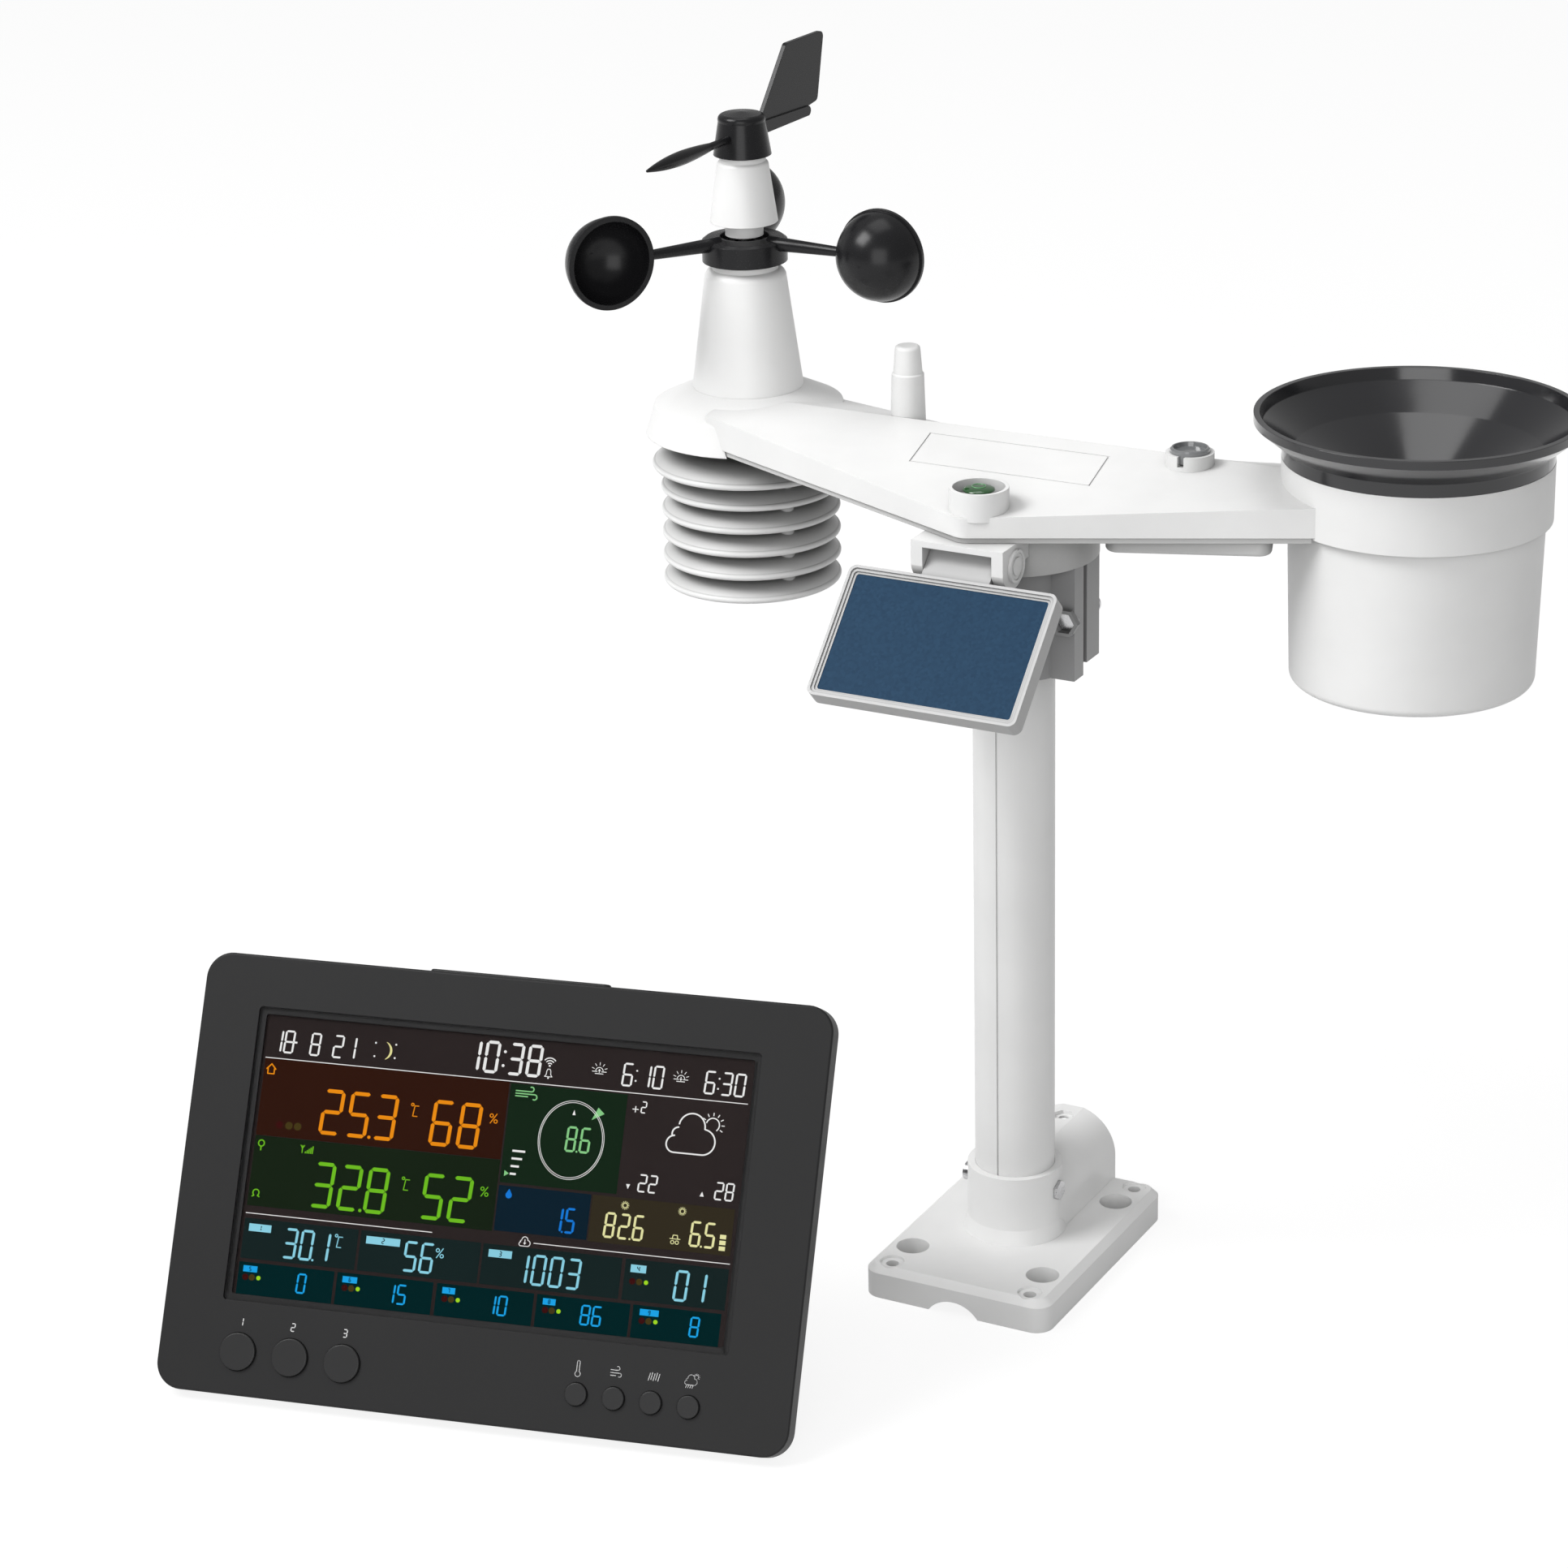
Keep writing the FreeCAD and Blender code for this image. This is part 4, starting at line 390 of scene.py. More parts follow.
def solar_cell():
    """Blue flakes with hardly any gloss."""
    material = bpy.data.materials.new("solar cell")
    tree = node_tree(material)
    output = add(tree, "ShaderNodeOutputMaterial")
    surface = add(tree, "ShaderNodeBsdfPrincipled", Roughness=0.5)
    surface.inputs["Specular IOR Level"].default_value = 0.1
    place = add(tree, "ShaderNodeTexCoord")
    turn = add(tree, "ShaderNodeMapping")
    turn.inputs["Rotation"].default_value = (PANEL_TILT, 0, 0)
    flakes = add(tree, "ShaderNodeTexVoronoi", Scale=FLAKES)
    shades = add(tree, "ShaderNodeValToRGB")
    shades.color_ramp.elements[0].color = DEEP_BLUE
    shades.color_ramp.elements[1].color = FLAKE_BLUE
    link = tree.links.new
    link(place.outputs["Object"], turn.inputs["Vector"])
    link(turn.outputs[0], flakes.inputs["Vector"])
    link(flakes.outputs["Color"], shades.inputs[0])
    link(shades.outputs[0], surface.inputs["Base Color"])
    link(surface.outputs[0], output.inputs[0])
    return material


cell_blue = solar_cell()
print("solar cell:", cell_blue.name)

# %% [markdown]
# ## Give each solid its finish
# The record names a slot for every solid. A small table turns slots into the finishes above. The
# pieces of the second table get their own finish: the white ones carry more or less painted light
# and shade than the rest of their slot, and the others differ a little from it.

# %% Finish every solid
FINISH_OF_SLOT = {
    "white_plastic": white_case, "black_gloss": black_funnel, "charcoal_plastic": charcoal_case,
    "key_plastic": key_rubber, "stainless_steel": steel, "solar_cell": cell_blue,
    "circuit_board": board_green, "vial_green": vial_green, "lens_grey": lens_plastic,
    "magnet": dark_magnet, "battery_can": cell_wrap, "display_glass": display_black,
    "clear_window": window_clear,
}
PIECES_OF_FINISH = (
    (white_tube, ("pole",)),
    (white_small, ("louvre_stack", "louvre_top")),
    (white_painted_light, ("base_plate", "wind_tower", "upper_cone")),
    (white_painted_shade_under_arm, ("arm_bottom_case", "battery_door")),
    (black_wind, ("rotor_hub", "wind_cup_1", "wind_cup_2", "wind_cup_3", "vane_hub", "vane_tail",
                  "vane_pointer")),
    (vial_seat, ("level_vial",)),
    (grey_frame, ("panel_frame",)),
    (clamp_painted_shade, ("clamp_front", "clamp_rear")),
)
own_finish = {piece: finish for finish, pieces in PIECES_OF_FINISH for piece in pieces}

for part in frame["record"]["subparts"]:
    solid = nodes[part["node"]]
    solid.data.materials.clear()
    finish = own_finish.get(part["node"], FINISH_OF_SLOT[part["material_slot"]])
    solid.data.materials.append(finish)
print("finished solids:", len(nodes))

# %% [markdown]
# ## Bubble level
# The vial is a low clear dome full of green fluid, and its bubble shows as a pale ring. Both are
# turned shapes, so one helper spins a short outline round an upright axis.

# %% Turned piece
TURN_STEPS = 40


def turned(name, outline, centre, finish):
    """Spin a closed outline of (radius, height) points, in metres, round an upright axis."""
    mesh = bmesh.new()
    rings = []
    for step in range(TURN_STEPS):
        angle = 2 * math.pi * step / TURN_STEPS
        rings.append([mesh.verts.new(centre + Vector((r * math.cos(angle), r * math.sin(angle), z)))
                      for r, z in outline])
    for here, there in zip(rings, rings[1:] + rings[:1]):
        for i in range(len(outline)):
            j = (i + 1) % len(outline)
            mesh.faces.new((here[i], there[i], there[j], here[j]))
    bmesh.ops.remove_doubles(mesh, verts=mesh.verts, dist=1e-7)
    bmesh.ops.recalc_face_normals(mesh, faces=mesh.faces)
    data = bpy.data.meshes.new(name)
    mesh.to_mesh(data)
    mesh.free()
    for face in data.polygons:
        face.use_smooth = True
    made = bpy.data.objects.new(name, data)
    scene.collection.objects.link(made)
    data.materials.append(finish)
    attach(made, "mast")
    print(name, len(data.polygons), "faces")


print("a turned piece has", TURN_STEPS, "steps")

# %% [markdown]
# The dome stands on the vial's solid, whose box gives its middle and its top. The bubble is a thin
# ring just under the crown of the dome, which is where a real bubble settles when the set is level.

# %% Vial dome and bubble
vial_low, vial_high = (Vector(corner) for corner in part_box("level_vial"))
vial_top = (vial_low + vial_high) / 2
vial_top.z = vial_high.z
VIAL_RADIUS = (vial_high.x - vial_low.x) / 2 * 0.62
DOME_RISE = 1.3 * MM
DOME_SINK = 0.2 * MM
CROWN_GAP = 0.02 * MM       # keeps the outline off the axis
dome = [(VIAL_RADIUS * math.cos(math.radians(a)), DOME_RISE * math.sin(math.radians(a)))
        for a in (0, 12, 25, 38, 50, 62, 74, 84)]
dome_foot = [(CROWN_GAP, -DOME_SINK), (VIAL_RADIUS, -DOME_SINK)]
turned("vial_dome", dome_foot + dome + [(CROWN_GAP, DOME_RISE)], vial_top, vial_green)

BUBBLE_RADIUS = VIAL_RADIUS * 0.42
BUBBLE_LINE = 0.22 * MM
BUBBLE_RISE = DOME_RISE * 0.93
bubble = [(BUBBLE_RADIUS + BUBBLE_LINE * math.cos(math.radians(a)),
           BUBBLE_RISE + BUBBLE_LINE * math.sin(math.radians(a))) for a in range(0, 360, 45)]
turned("vial_bubble", bubble, vial_top, bubble_green)

# %% [markdown]
# ## The console's own axes
# Everything on the console's face is laid out flat, in millimetres from the middle of the window,
# and then carried to its place by one matrix: lean back, turn, move.

# %% Console face axes
CONSOLE_TURN = math.radians(13.0)
RECLINE = math.radians(30.0)
FACE_THICKNESS = 9.0
CONSOLE_PLACE = Vector((-121.2, -215.1, FACE_THICKNESS * math.sin(RECLINE))) * MM
WINDOW_CENTRE = (-1.3, 89.8)
DISPLAY_DEPTH = 2.4         # from the bezel's face back to the display
SHOWN_SHARE = 0.965         # the layout is drawn for the whole glass, and the bezel covers its rim
console_axes = (Matrix.Translation(CONSOLE_PLACE) @ Matrix.Rotation(CONSOLE_TURN, 4, "Z")
                @ Matrix.Rotation(-RECLINE, 4, "X"))
print("window centre:", console_axes @ (Vector((WINDOW_CENTRE[0], 0, WINDOW_CENTRE[1])) * MM))

# %% [markdown]
# ## Thin tiles for marks
# A lit mark could be painted on, but a real piece of mesh keeps its edge sharp and survives the
# export. So each mark is a very thin tile, and all marks of one colour share one piece.

# %% Marks on the console face
MARK_THICKNESS = 0.12
CORNER_GROW = 0.25          # each run of a stroke is longer by this share of its width


class Marks:
    """Flat marks of one colour: each is a thin tile that stands a little proud of a face."""

    def __init__(self, name, depth, thickness=MARK_THICKNESS, fit=SHOWN_SHARE):
        self.name = name
        self.fit = fit
        self.back = depth
        self.front = depth - thickness
        self.mesh = bmesh.new()

    def corners(self, place, depth):
        return [self.mesh.verts.new(console_axes @ (Vector((x, depth, z)) * MM)) for x, z in place]

    def tile(self, outline):
        """A flat tile from (u, v) corners in millimetres from the middle of the window."""
        place = [(WINDOW_CENTRE[0] + u * self.fit, WINDOW_CENTRE[1] + v * self.fit)
                 for u, v in outline]
        area = sum(a[0] * b[1] - b[0] * a[1] for a, b in zip(place, place[1:] + place[:1]))
        if area < 0:
            place.reverse()
        front = self.corners(place, self.front)
        rear = self.corners(place, self.back)
        self.mesh.faces.new(front)
        self.mesh.faces.new(rear[::-1])
        for i in range(len(place)):
            j = (i + 1) % len(place)
            self.mesh.faces.new((front[i], rear[i], rear[j], front[j]))

    def block(self, u0, v0, u1, v1):
        self.tile([(u0, v0), (u1, v0), (u1, v1), (u0, v1)])

    def dot(self, u, v, radius, sides=20):
        turn = 2 * math.pi / sides
        self.tile([(u + radius * math.cos(i * turn), v + radius * math.sin(i * turn))
                   for i in range(sides)])

    def line(self, points, width):
        """A stroke through points: one tile for each run, a little longer to close the corners."""
        for (u0, v0), (u1, v1) in zip(points, points[1:]):
            length = math.hypot(u1 - u0, v1 - v0)
            du, dv = (u1 - u0) / length, (v1 - v0) / length
            grow = width * CORNER_GROW
            u0, v0, u1, v1 = u0 - du * grow, v0 - dv * grow, u1 + du * grow, v1 + dv * grow
            nu, nv = -dv * width / 2, du * width / 2
            self.tile([(u0 + nu, v0 + nv), (u0 - nu, v0 - nv),
                       (u1 - nu, v1 - nv), (u1 + nu, v1 + nv)])

    def arc(self, u, v, radius, start, end, width, steps=24, tall=1.0):
        """A stroke along an arc between two angles in degrees, stretched upwards by tall."""
        points = []
        for i in range(steps + 1):
            angle = math.radians(start + (end - start) * i / steps)
            points.append((u + radius * math.cos(angle), v + radius * tall * math.sin(angle)))
        self.line(points, width)

    def finish(self, material, slot="display_glass"):
        data = bpy.data.meshes.new(self.name)
        self.mesh.to_mesh(data)
        self.mesh.free()
        made = bpy.data.objects.new(self.name, data)
        scene.collection.objects.link(made)
        data.materials.append(material)
        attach(made, "console")
        print(self.name, len(data.polygons), "faces")


print("marks are", MARK_THICKNESS, "mm thick")

# %% [markdown]
# ## Lit segments
# A reading is built as the real display builds it, from seven slanted bars with pointed ends.
# Which bars are lit is the whole font.

# %% Seven-bar numbers
LIT_BARS = {"0": "abcdef", "1": "bc", "2": "abged", "3": "abgcd", "4": "fgbc", "5": "afgcd",
            "6": "afgedc", "7": "abc", "8": "abcdefg", "9": "abcdfg"}
SLANT = 0.05
COLON_RISES = (0.27, 0.70)
BAR_GAP = 0.10              # gap between two bars, as a share of a bar's width
DOT_SIDES = 12


def bar_outline(start, end, bar):
    """Six corners of one bar between two points: a strip with a point at each end."""
    (x0, z0), (x1, z1) = start, end
    length = math.hypot(x1 - x0, z1 - z0)
    dx, dz = (x1 - x0) / length, (z1 - z0) / length
    gap, tip = bar * BAR_GAP, bar / 2
    near, far = gap + tip, length - gap - tip
    steps = ((gap, 0), (near, 1), (far, 1), (length - gap, 0), (far, -1), (near, -1))
    return [(x0 + dx * along - dz * bar / 2 * side, z0 + dz * along + dx * bar / 2 * side)
            for along, side in steps]


def seven_bars(marks, text, u, v, size, pitch, bar, colon=1.9):
    """Write a reading: (u, v) is its lower left corner, size the width and height of a figure."""
    wide, tall = size
    width, height = wide - bar, tall - bar
    half = height / 2
    ends = {"a": ((0, height), (width, height)), "b": ((width, height), (width, half)),
            "c": ((width, half), (width, 0)), "d": ((0, 0), (width, 0)), "e": ((0, half), (0, 0)),
            "f": ((0, height), (0, half)), "g": ((0, half), (width, half))}
    for letter in text:
        if letter == ".":
            marks.dot(u - (pitch - wide) * 0.45, v + bar / 2, bar * 0.45, DOT_SIDES)
            continue
        if letter == ":":
            for rise in COLON_RISES:
                leaning = u + colon * 0.2 + SLANT * tall * rise
                marks.dot(leaning, v + tall * rise, bar / 2, DOT_SIDES)
            u += colon
            continue
        for name in LIT_BARS[letter]:
            shape = [(x + bar / 2, z + bar / 2) for x, z in bar_outline(*ends[name], bar)]
            marks.tile([(u + x + SLANT * z, v + z) for x, z in shape])
        u += pitch


print("figures:", "".join(LIT_BARS))

# %% [markdown]
# The two unit signs are drawn as strokes, because their small curves are no seven-bar shapes.

# %% Degree and percent signs
UNIT_LINE = 0.34


def degree_sign(marks, u, v):
    """Small ring and an angular C, five millimetres tall."""
    marks.arc(u + 0.55, v + 4.6, 0.5, 0, 360, UNIT_LINE, 12)
    marks.line([(u + 3.1, v + 4.2), (u + 1.5, v + 4.2), (u + 1.0, v + 0.2), (u + 2.8, v + 0.2)],
               UNIT_LINE)


def percent_sign(marks, u, v):
    """A leaning stroke between two small rings."""
    marks.line([(u + 0.4, v + 0.1), (u + 2.8, v + 3.8)], UNIT_LINE)
    marks.arc(u + 0.7, v + 3.0, 0.65, 0, 360, UNIT_LINE, 12)
    marks.arc(u + 2.5, v + 0.9, 0.65, 0, 360, UNIT_LINE, 12)


print("unit signs have", UNIT_LINE, "mm strokes")

# %% [markdown]
# ## Lit colours
# A lit zone on this kind of display is a coloured film over a white lamp. Each colour is its own
# piece with a slightly uneven glow, because the film is brighter near its lamp. The film itself has
# no gloss: a gloss would wash out the dark tints.

# %% Glow finishes
FILM_DIM, FILM_BRIGHT = 0.88, 1.08
FILM_CLOUDS = 25.0


def glow(name, colour):
    """A film that gives off its own colour, slightly unevenly."""
    material = bpy.data.materials.new(name)
    tree = node_tree(material)
    output = add(tree, "ShaderNodeOutputMaterial")
    surface = add(tree, "ShaderNodeBsdfPrincipled", Base_Color=(0.0, 0.0, 0.0, 1), Roughness=0.5)
    surface.inputs["Specular IOR Level"].default_value = 0.0
    surface.inputs["Emission Strength"].default_value = 1.0
    place = add(tree, "ShaderNodeTexCoord")
    cloud = add(tree, "ShaderNodeTexNoise", Scale=FILM_CLOUDS)
    film = add(tree, "ShaderNodeValToRGB")
    film.color_ramp.elements[0].color = tuple(c * FILM_DIM for c in colour) + (1,)
    film.color_ramp.elements[1].color = tuple(min(1, c * FILM_BRIGHT) for c in colour) + (1,)
    tree.links.new(place.outputs["Object"], cloud.inputs["Vector"])
    tree.links.new(cloud.outputs[0], film.inputs[0])
    tree.links.new(film.outputs[0], surface.inputs["Emission Color"])
    tree.links.new(surface.outputs[0], output.inputs[0])
    return material


print("film brightness from", FILM_DIM, "to", FILM_BRIGHT)

# %% [markdown]
# ## Zones
# Even where nothing is lit, each zone of the display has a dark tint of its own. The zones are
# plain blocks, and the marks lie on top of them.

# %% Zone tints
ZONE = 0.06
AIR_TOP, AIR_FOOT, GAS_TOP, GAS_FOOT = -24.9, -40.4, -41.8, -54.2
AIR_SPANS = ((-97.3, -50.6), (-49.5, -1.0), (0.0, 55.3), (56.7, 97.2))
GAS_SPANS = ((-97.3, -58.3), (-57.0, -18.1), (-16.6, 22.3), (23.6, 60.5), (61.7, 96.2))
zones = {
    "zone_indoor": ((0.030, 0.009, 0.005), [(-97.3, 7.4, 2.6, 37.2)]),
    "zone_outdoor": ((0.009, 0.0175, 0.008), [(-97.3, -20.0, 2.6, 7.2)]),
    "zone_wind": ((0.008, 0.021, 0.010), [(3.3, -1.2, 50.0, 36.8)]),
    "zone_rain": ((0.0045, 0.016, 0.029), [(3.3, -19.6, 40.2, -2.3)]),
    "zone_light": ((0.034, 0.027, 0.0155), [(40.8, -20.0, 96.9, -2.3)]),
    "zone_air": ((0.009, 0.019, 0.019), [(u0, AIR_FOOT, u1, AIR_TOP) for u0, u1 in AIR_SPANS]),
    "zone_gases": ((0.001, 0.018, 0.020), [(u0, GAS_FOOT, u1, GAS_TOP) for u0, u1 in GAS_SPANS]),
}
for name, (colour, blocks) in zones.items():
    zone = Marks(name, DISPLAY_DEPTH, ZONE)
    for u0, v0, u1, v1 in blocks:
        zone.block(u0, v0, u1, v1)
    zone.finish(glow(name.replace("_", " "), colour))

# %% [markdown]
# ## White readings
# Date, clock, sunrise and sunset run along the top on one base line, and the forecast has its low
# and high below. Thin rules part the zones.

# %% White readings and rules
LIT = DISPLAY_DEPTH - ZONE
TOP_LINE = 39.8
SMALL_FIGURE, SMALL_BAR = (4.2, 9.0), 0.72
FORECAST_FIGURE, FORECAST_BAR = (3.4, 6.9), 0.62
white = Marks("lit_white", LIT)
seven_bars(white, "18", -95.5, TOP_LINE, SMALL_FIGURE, 4.9, SMALL_BAR)
white.line([(-86.2, 44.3), (-85.2, 44.3)], SMALL_BAR)
seven_bars(white, "8", -79.8, TOP_LINE, SMALL_FIGURE, 4.9, SMALL_BAR)
seven_bars(white, "21", -70.4, TOP_LINE, SMALL_FIGURE, 5.2, SMALL_BAR)
seven_bars(white, "10:38", -16.4, TOP_LINE, (5.9, 12.5), 7.5, 1.15, 2.2)
seven_bars(white, "6:10", 46.8, TOP_LINE, SMALL_FIGURE, 5.1, SMALL_BAR, 1.9)
seven_bars(white, "6:30", 79.4, TOP_LINE, SMALL_FIGURE, 5.2, SMALL_BAR, 1.4)
seven_bars(white, "2", 55.7, 30.2, (2.2, 4.6), 3.0, 0.45)
seven_bars(white, "22", 57.9, 0.4, FORECAST_FIGURE, 4.1, FORECAST_BAR)
seven_bars(white, "28", 88.1, 0.4, FORECAST_FIGURE, 4.1, FORECAST_BAR)
RULES = ((-97.2, 97.2, 37.55), (-97.2, -21.2, -22.95), (19.8, 97.2, -22.95))
for u0, u1, v in RULES:
    white.line([(u0, v), (u1, v)], 0.3)
white.line([(52.6, 31.5), (54.8, 31.5)], 0.35)
white.line([(53.7, 30.4), (53.7, 32.6)], 0.35)
print("white readings:", len(white.mesh.faces), "faces so far")

# %% [markdown]
# ## Sky signs
# Sun and cloud come back in several sizes, on the display and on the bezel, so each is a function.
# The cloud is one outline of four arcs and a flat base.

# %% Sun and cloud signs
SUN_RAYS = (20, 55, 90, 125, 160)


def sky_line_sun(marks, u, v, down):
    """Half sun over a horizon with an arrow, for sunrise and sunset."""
    tip = -1 if down else 1
    for side in (-1, 1):
        marks.line([(u + side * 0.9, v), (u + side * 2.8, v)], 0.28)
    marks.line([(u - 1.6, v - 0.8), (u + 1.6, v - 0.8)], 0.28)
    marks.arc(u, v + 0.1, 1.5, 10, 170, 0.26, 12)
    for angle in SUN_RAYS:
        a = math.radians(angle)
        marks.line([(u + 2.2 * math.cos(a), v + 0.3 + 2.2 * math.sin(a)),
                    (u + 3.2 * math.cos(a), v + 0.3 + 3.2 * math.sin(a))], 0.22)
    marks.line([(u, v - 0.4), (u, v + 0.9)], 0.28)
    peak = v + 0.25 + 0.75 * tip
    marks.tile([(u - 0.55, peak - 0.7 * tip), (u + 0.55, peak - 0.7 * tip), (u, peak)])


def cloud_outline(marks, u, v, size, width):
    """A cloud one size across: tall crown, left shoulder, two round ends and a flat base."""
    marks.arc(u - 0.01 * size, v + 0.12 * size, 0.27 * size, -5, 172, width)
    marks.arc(u - 0.27 * size, v - 0.04 * size, 0.135 * size, 95, 200, width, 14)
    marks.arc(u - 0.335 * size, v - 0.245 * size, 0.17 * size, 95, 270, width, 16)
    marks.arc(u + 0.24 * size, v - 0.16 * size, 0.255 * size, -90, 82, width)
    base = v - 0.415 * size
    marks.line([(u - 0.335 * size, base), (u + 0.24 * size, base)], width)


def small_sun(marks, u, v, radius, width, start=0, end=360):
    """A ring between two angles in degrees, with a ray every 30 degrees of it."""
    marks.arc(u, v, radius, start, end, width, 16)
    for angle in range(0, 360, 30):
        if start <= angle - (360 if angle > 180 and start < 0 else 0) <= end:
            a = math.radians(angle)
            marks.line([(u + radius * share * math.cos(a), v + radius * share * math.sin(a))
                        for share in (1.35, 1.75)], width * 0.8)


print("sky signs ready")

# %% [markdown]
# Sunrise and sunset stand before their times, the cloud with its sun fills the forecast, and four
# stars stand round the moon's place.

# %% Sky signs on the display
sky_line_sun(white, 37.7, 44.4, False)
sky_line_sun(white, 70.1, 44.4, True)
cloud_outline(white, 76.8, 24.6, 19.0, 0.55)
small_sun(white, 84.6, 28.4, 2.6, 0.42, -50, 165)
for u, v in ((-53.0, 47.2), (-44.7, 47.2), (-53.0, 42.0), (-44.7, 42.0)):
    white.dot(u, v, 0.42, 5)
print("with the sky signs:", len(white.mesh.faces), "faces")

# %% [markdown]
# ## Small white signs
# Radio waves and a bell follow the clock, small triangles mark low and high, and the compass ring
# goes round the wind reading. A small cloud with an arrow breaks the rule over the air readings.

# %% Radio, bell, compass and air signs
for ring in (0.9, 1.9, 2.9):
    white.arc(17.8, 44.9, ring, 42, 138, 0.4, 10)
white.dot(17.8, 44.8, 0.4, 10)
BELL = [(16.2, 40.6), (16.8, 41.4), (16.9, 42.8), (17.3, 43.5), (18.1, 43.5), (18.5, 42.8),
        (18.6, 41.4), (19.2, 40.6), (16.2, 40.6)]
white.line(BELL, 0.26)
white.dot(17.7, 40.1, 0.35, 8)
white.tile([(53.4, 3.0), (55.0, 3.0), (54.2, 1.2)])
white.tile([(82.6, 1.2), (84.2, 1.2), (83.4, 3.0)])
COMPASS_TALL = 1.15
for share in (1.0, 0.955):
    white.arc(29.7, 17.4, 13.05 * share, 0, 360, 0.2, 72, COMPASS_TALL)
white.tile([(29.1, 27.0), (30.3, 27.0), (29.7, 28.9)])
WIND_ROW = 2.93
for row in range(4):
    white.block(7.0, 2.0 + WIND_ROW * row, 9.4 + 0.9 * row, 2.8 + WIND_ROW * row)
cloud_outline(white, 16.2, -22.6, 4.4, 0.28)
white.line([(16.2, -21.9), (16.2, -23.6)], 0.28)
white.tile([(15.6, -23.1), (16.8, -23.1), (16.2, -23.9)])
white.finish(glow("lit white film", (0.88, 0.88, 0.87)))

# %% [markdown]
# ## Moon
# The moon's crescent is the one mark with a curved body: its outline goes up a wide arc and comes
# back down a flatter one.

# %% Moon
moon = Marks("lit_moon", LIT)
crescent = []
for i in range(13):
    a = math.radians(-66 + 132 * i / 12)
    crescent.append((-50.1 + 4.1 * math.cos(a), 44.5 + 3.7 * math.sin(a)))
for i in range(11):
    a = math.radians(48 - 96 * i / 10)
    crescent.append((-52.0 + 5.1 * math.cos(a), 44.5 + 4.4 * math.sin(a)))
moon.tile(crescent)
moon.finish(glow("lit moon film", (0.80, 0.75, 0.33)))

# %% [markdown]
# ## Coloured readings
# Each zone has its own colour. The readings keep the sizes of a large desk display: the indoor and
# outdoor figures are the tallest. Where the real display prints words, small signs stand instead.

# %% Orange readings
TALL_FIGURE, TALL_BAR = (8.6, 17.7), 1.45
orange = Marks("lit_orange", LIT)
seven_bars(orange, "25.3", -72.1, 10.0, TALL_FIGURE, 11.0, TALL_BAR)
seven_bars(orange, "68", -27.2, 10.0, TALL_FIGURE, 11.15, TALL_BAR)
degree_sign(orange, -35.6, 20.3)
percent_sign(orange, -3.6, 20.7)
HOUSE_ROOF = [(-96.2, 33.2), (-94.3, 35.2), (-92.4, 33.2)]
HOUSE_WALLS = [(-95.6, 33.4), (-95.6, 31.4), (-93.0, 31.4), (-93.0, 33.4)]
orange.line(HOUSE_ROOF, 0.45)
orange.line(HOUSE_WALLS, 0.45)
orange.finish(glow("lit orange film", (0.85, 0.27, 0.008)))

# %% [markdown]
# The outdoor zone is built the same way in green. A tree stands for its word, followed by the
# aerial with five rising bars, and a turning arrow sits below.

# %% Green readings
green = Marks("lit_green", LIT)
seven_bars(green, "32.8", -72.1, -18.3, TALL_FIGURE, 11.0, TALL_BAR)
seven_bars(green, "52", -27.3, -18.3, TALL_FIGURE, 11.1, TALL_BAR)
degree_sign(green, -35.7, -8.2)
percent_sign(green, -3.8, -7.4)
green.arc(-94.5, 4.3, 1.2, 0, 360, 0.45, 14)
green.line([(-94.5, 3.0), (-94.5, 1.6)], 0.5)
green.line([(-77.5, 2.2), (-77.5, 5.0)], 0.35)
green.line([(-78.3, 5.1), (-77.5, 3.9), (-76.7, 5.1)], 0.3)
for bar in range(5):
    green.line([(-76.2 + 0.72 * bar, 2.2), (-76.1 + 0.72 * bar, 2.7 + 0.55 * bar)], 0.42)
green.arc(-94.2, -14.9, 1.25, -50, 230, 0.42, 14)
for side in (-1, 1):
    green.line([(-94.2 + side * 0.7, -16.0), (-94.2 + side * 1.5, -16.4)], 0.42)
green.finish(glow("lit green film", (0.16, 0.52, 0.018)))

# %% [markdown]
# The wind reading is a paler green. Its arrow sits on the compass ring, and three gusts with curled
# ends stand for the word.

# %% Wind reading
pale_green = Marks("lit_pale_green", LIT)
seven_bars(pale_green, "8.6", 27.4, 12.8, (4.2, 9.9), 5.6, 0.85)
pale_green.tile([(36.9, 25.8), (41.7, 28.5), (39.1, 30.7)])
pale_green.tile([(4.8, 1.3), (6.6, 2.4), (4.8, 3.5)])
for rise, reach in ((34.2, 6.2), (33.2, 7.6), (32.2, 4.9)):
    pale_green.line([(5.6, rise), (5.6 + reach, rise)], 0.45)
pale_green.arc(11.8, 35.1, 0.9, -90, 120, 0.45, 8)
pale_green.arc(13.2, 32.2, 1.0, -120, 90, 0.45, 8)
pale_green.finish(glow("lit pale green film", (0.25, 0.62, 0.25)))

# %% [markdown]
# Light and sun strength are yellow. Small suns stand over them, a hat with glasses reminds of
# cover, and three blocks show how strong the sun is.

# %% Light readings
LIGHT_FIGURE = (4.3, 9.8)
LOW_LINE, LOW_BAR = -18.0, 0.88
yellow = Marks("lit_yellow", LIT)
seven_bars(yellow, "82.6", 46.4, LOW_LINE, LIGHT_FIGURE, 5.7, LOW_BAR)
seven_bars(yellow, "6.5", 80.3, LOW_LINE, LIGHT_FIGURE, 5.6, LOW_BAR)
for step in range(3):
    yellow.block(92.3, -18.3 + 2.2 * step, 94.7, -16.7 + 2.2 * step)
small_sun(yellow, 54.0, -5.1, 0.9, 0.3)
small_sun(yellow, 76.6, -5.1, 0.9, 0.3)
yellow.line([(72.9, -15.7), (76.9, -15.7)], 0.3)
yellow.line([(73.8, -15.7), (74.1, -14.3), (75.7, -14.3), (76.0, -15.7)], 0.3)
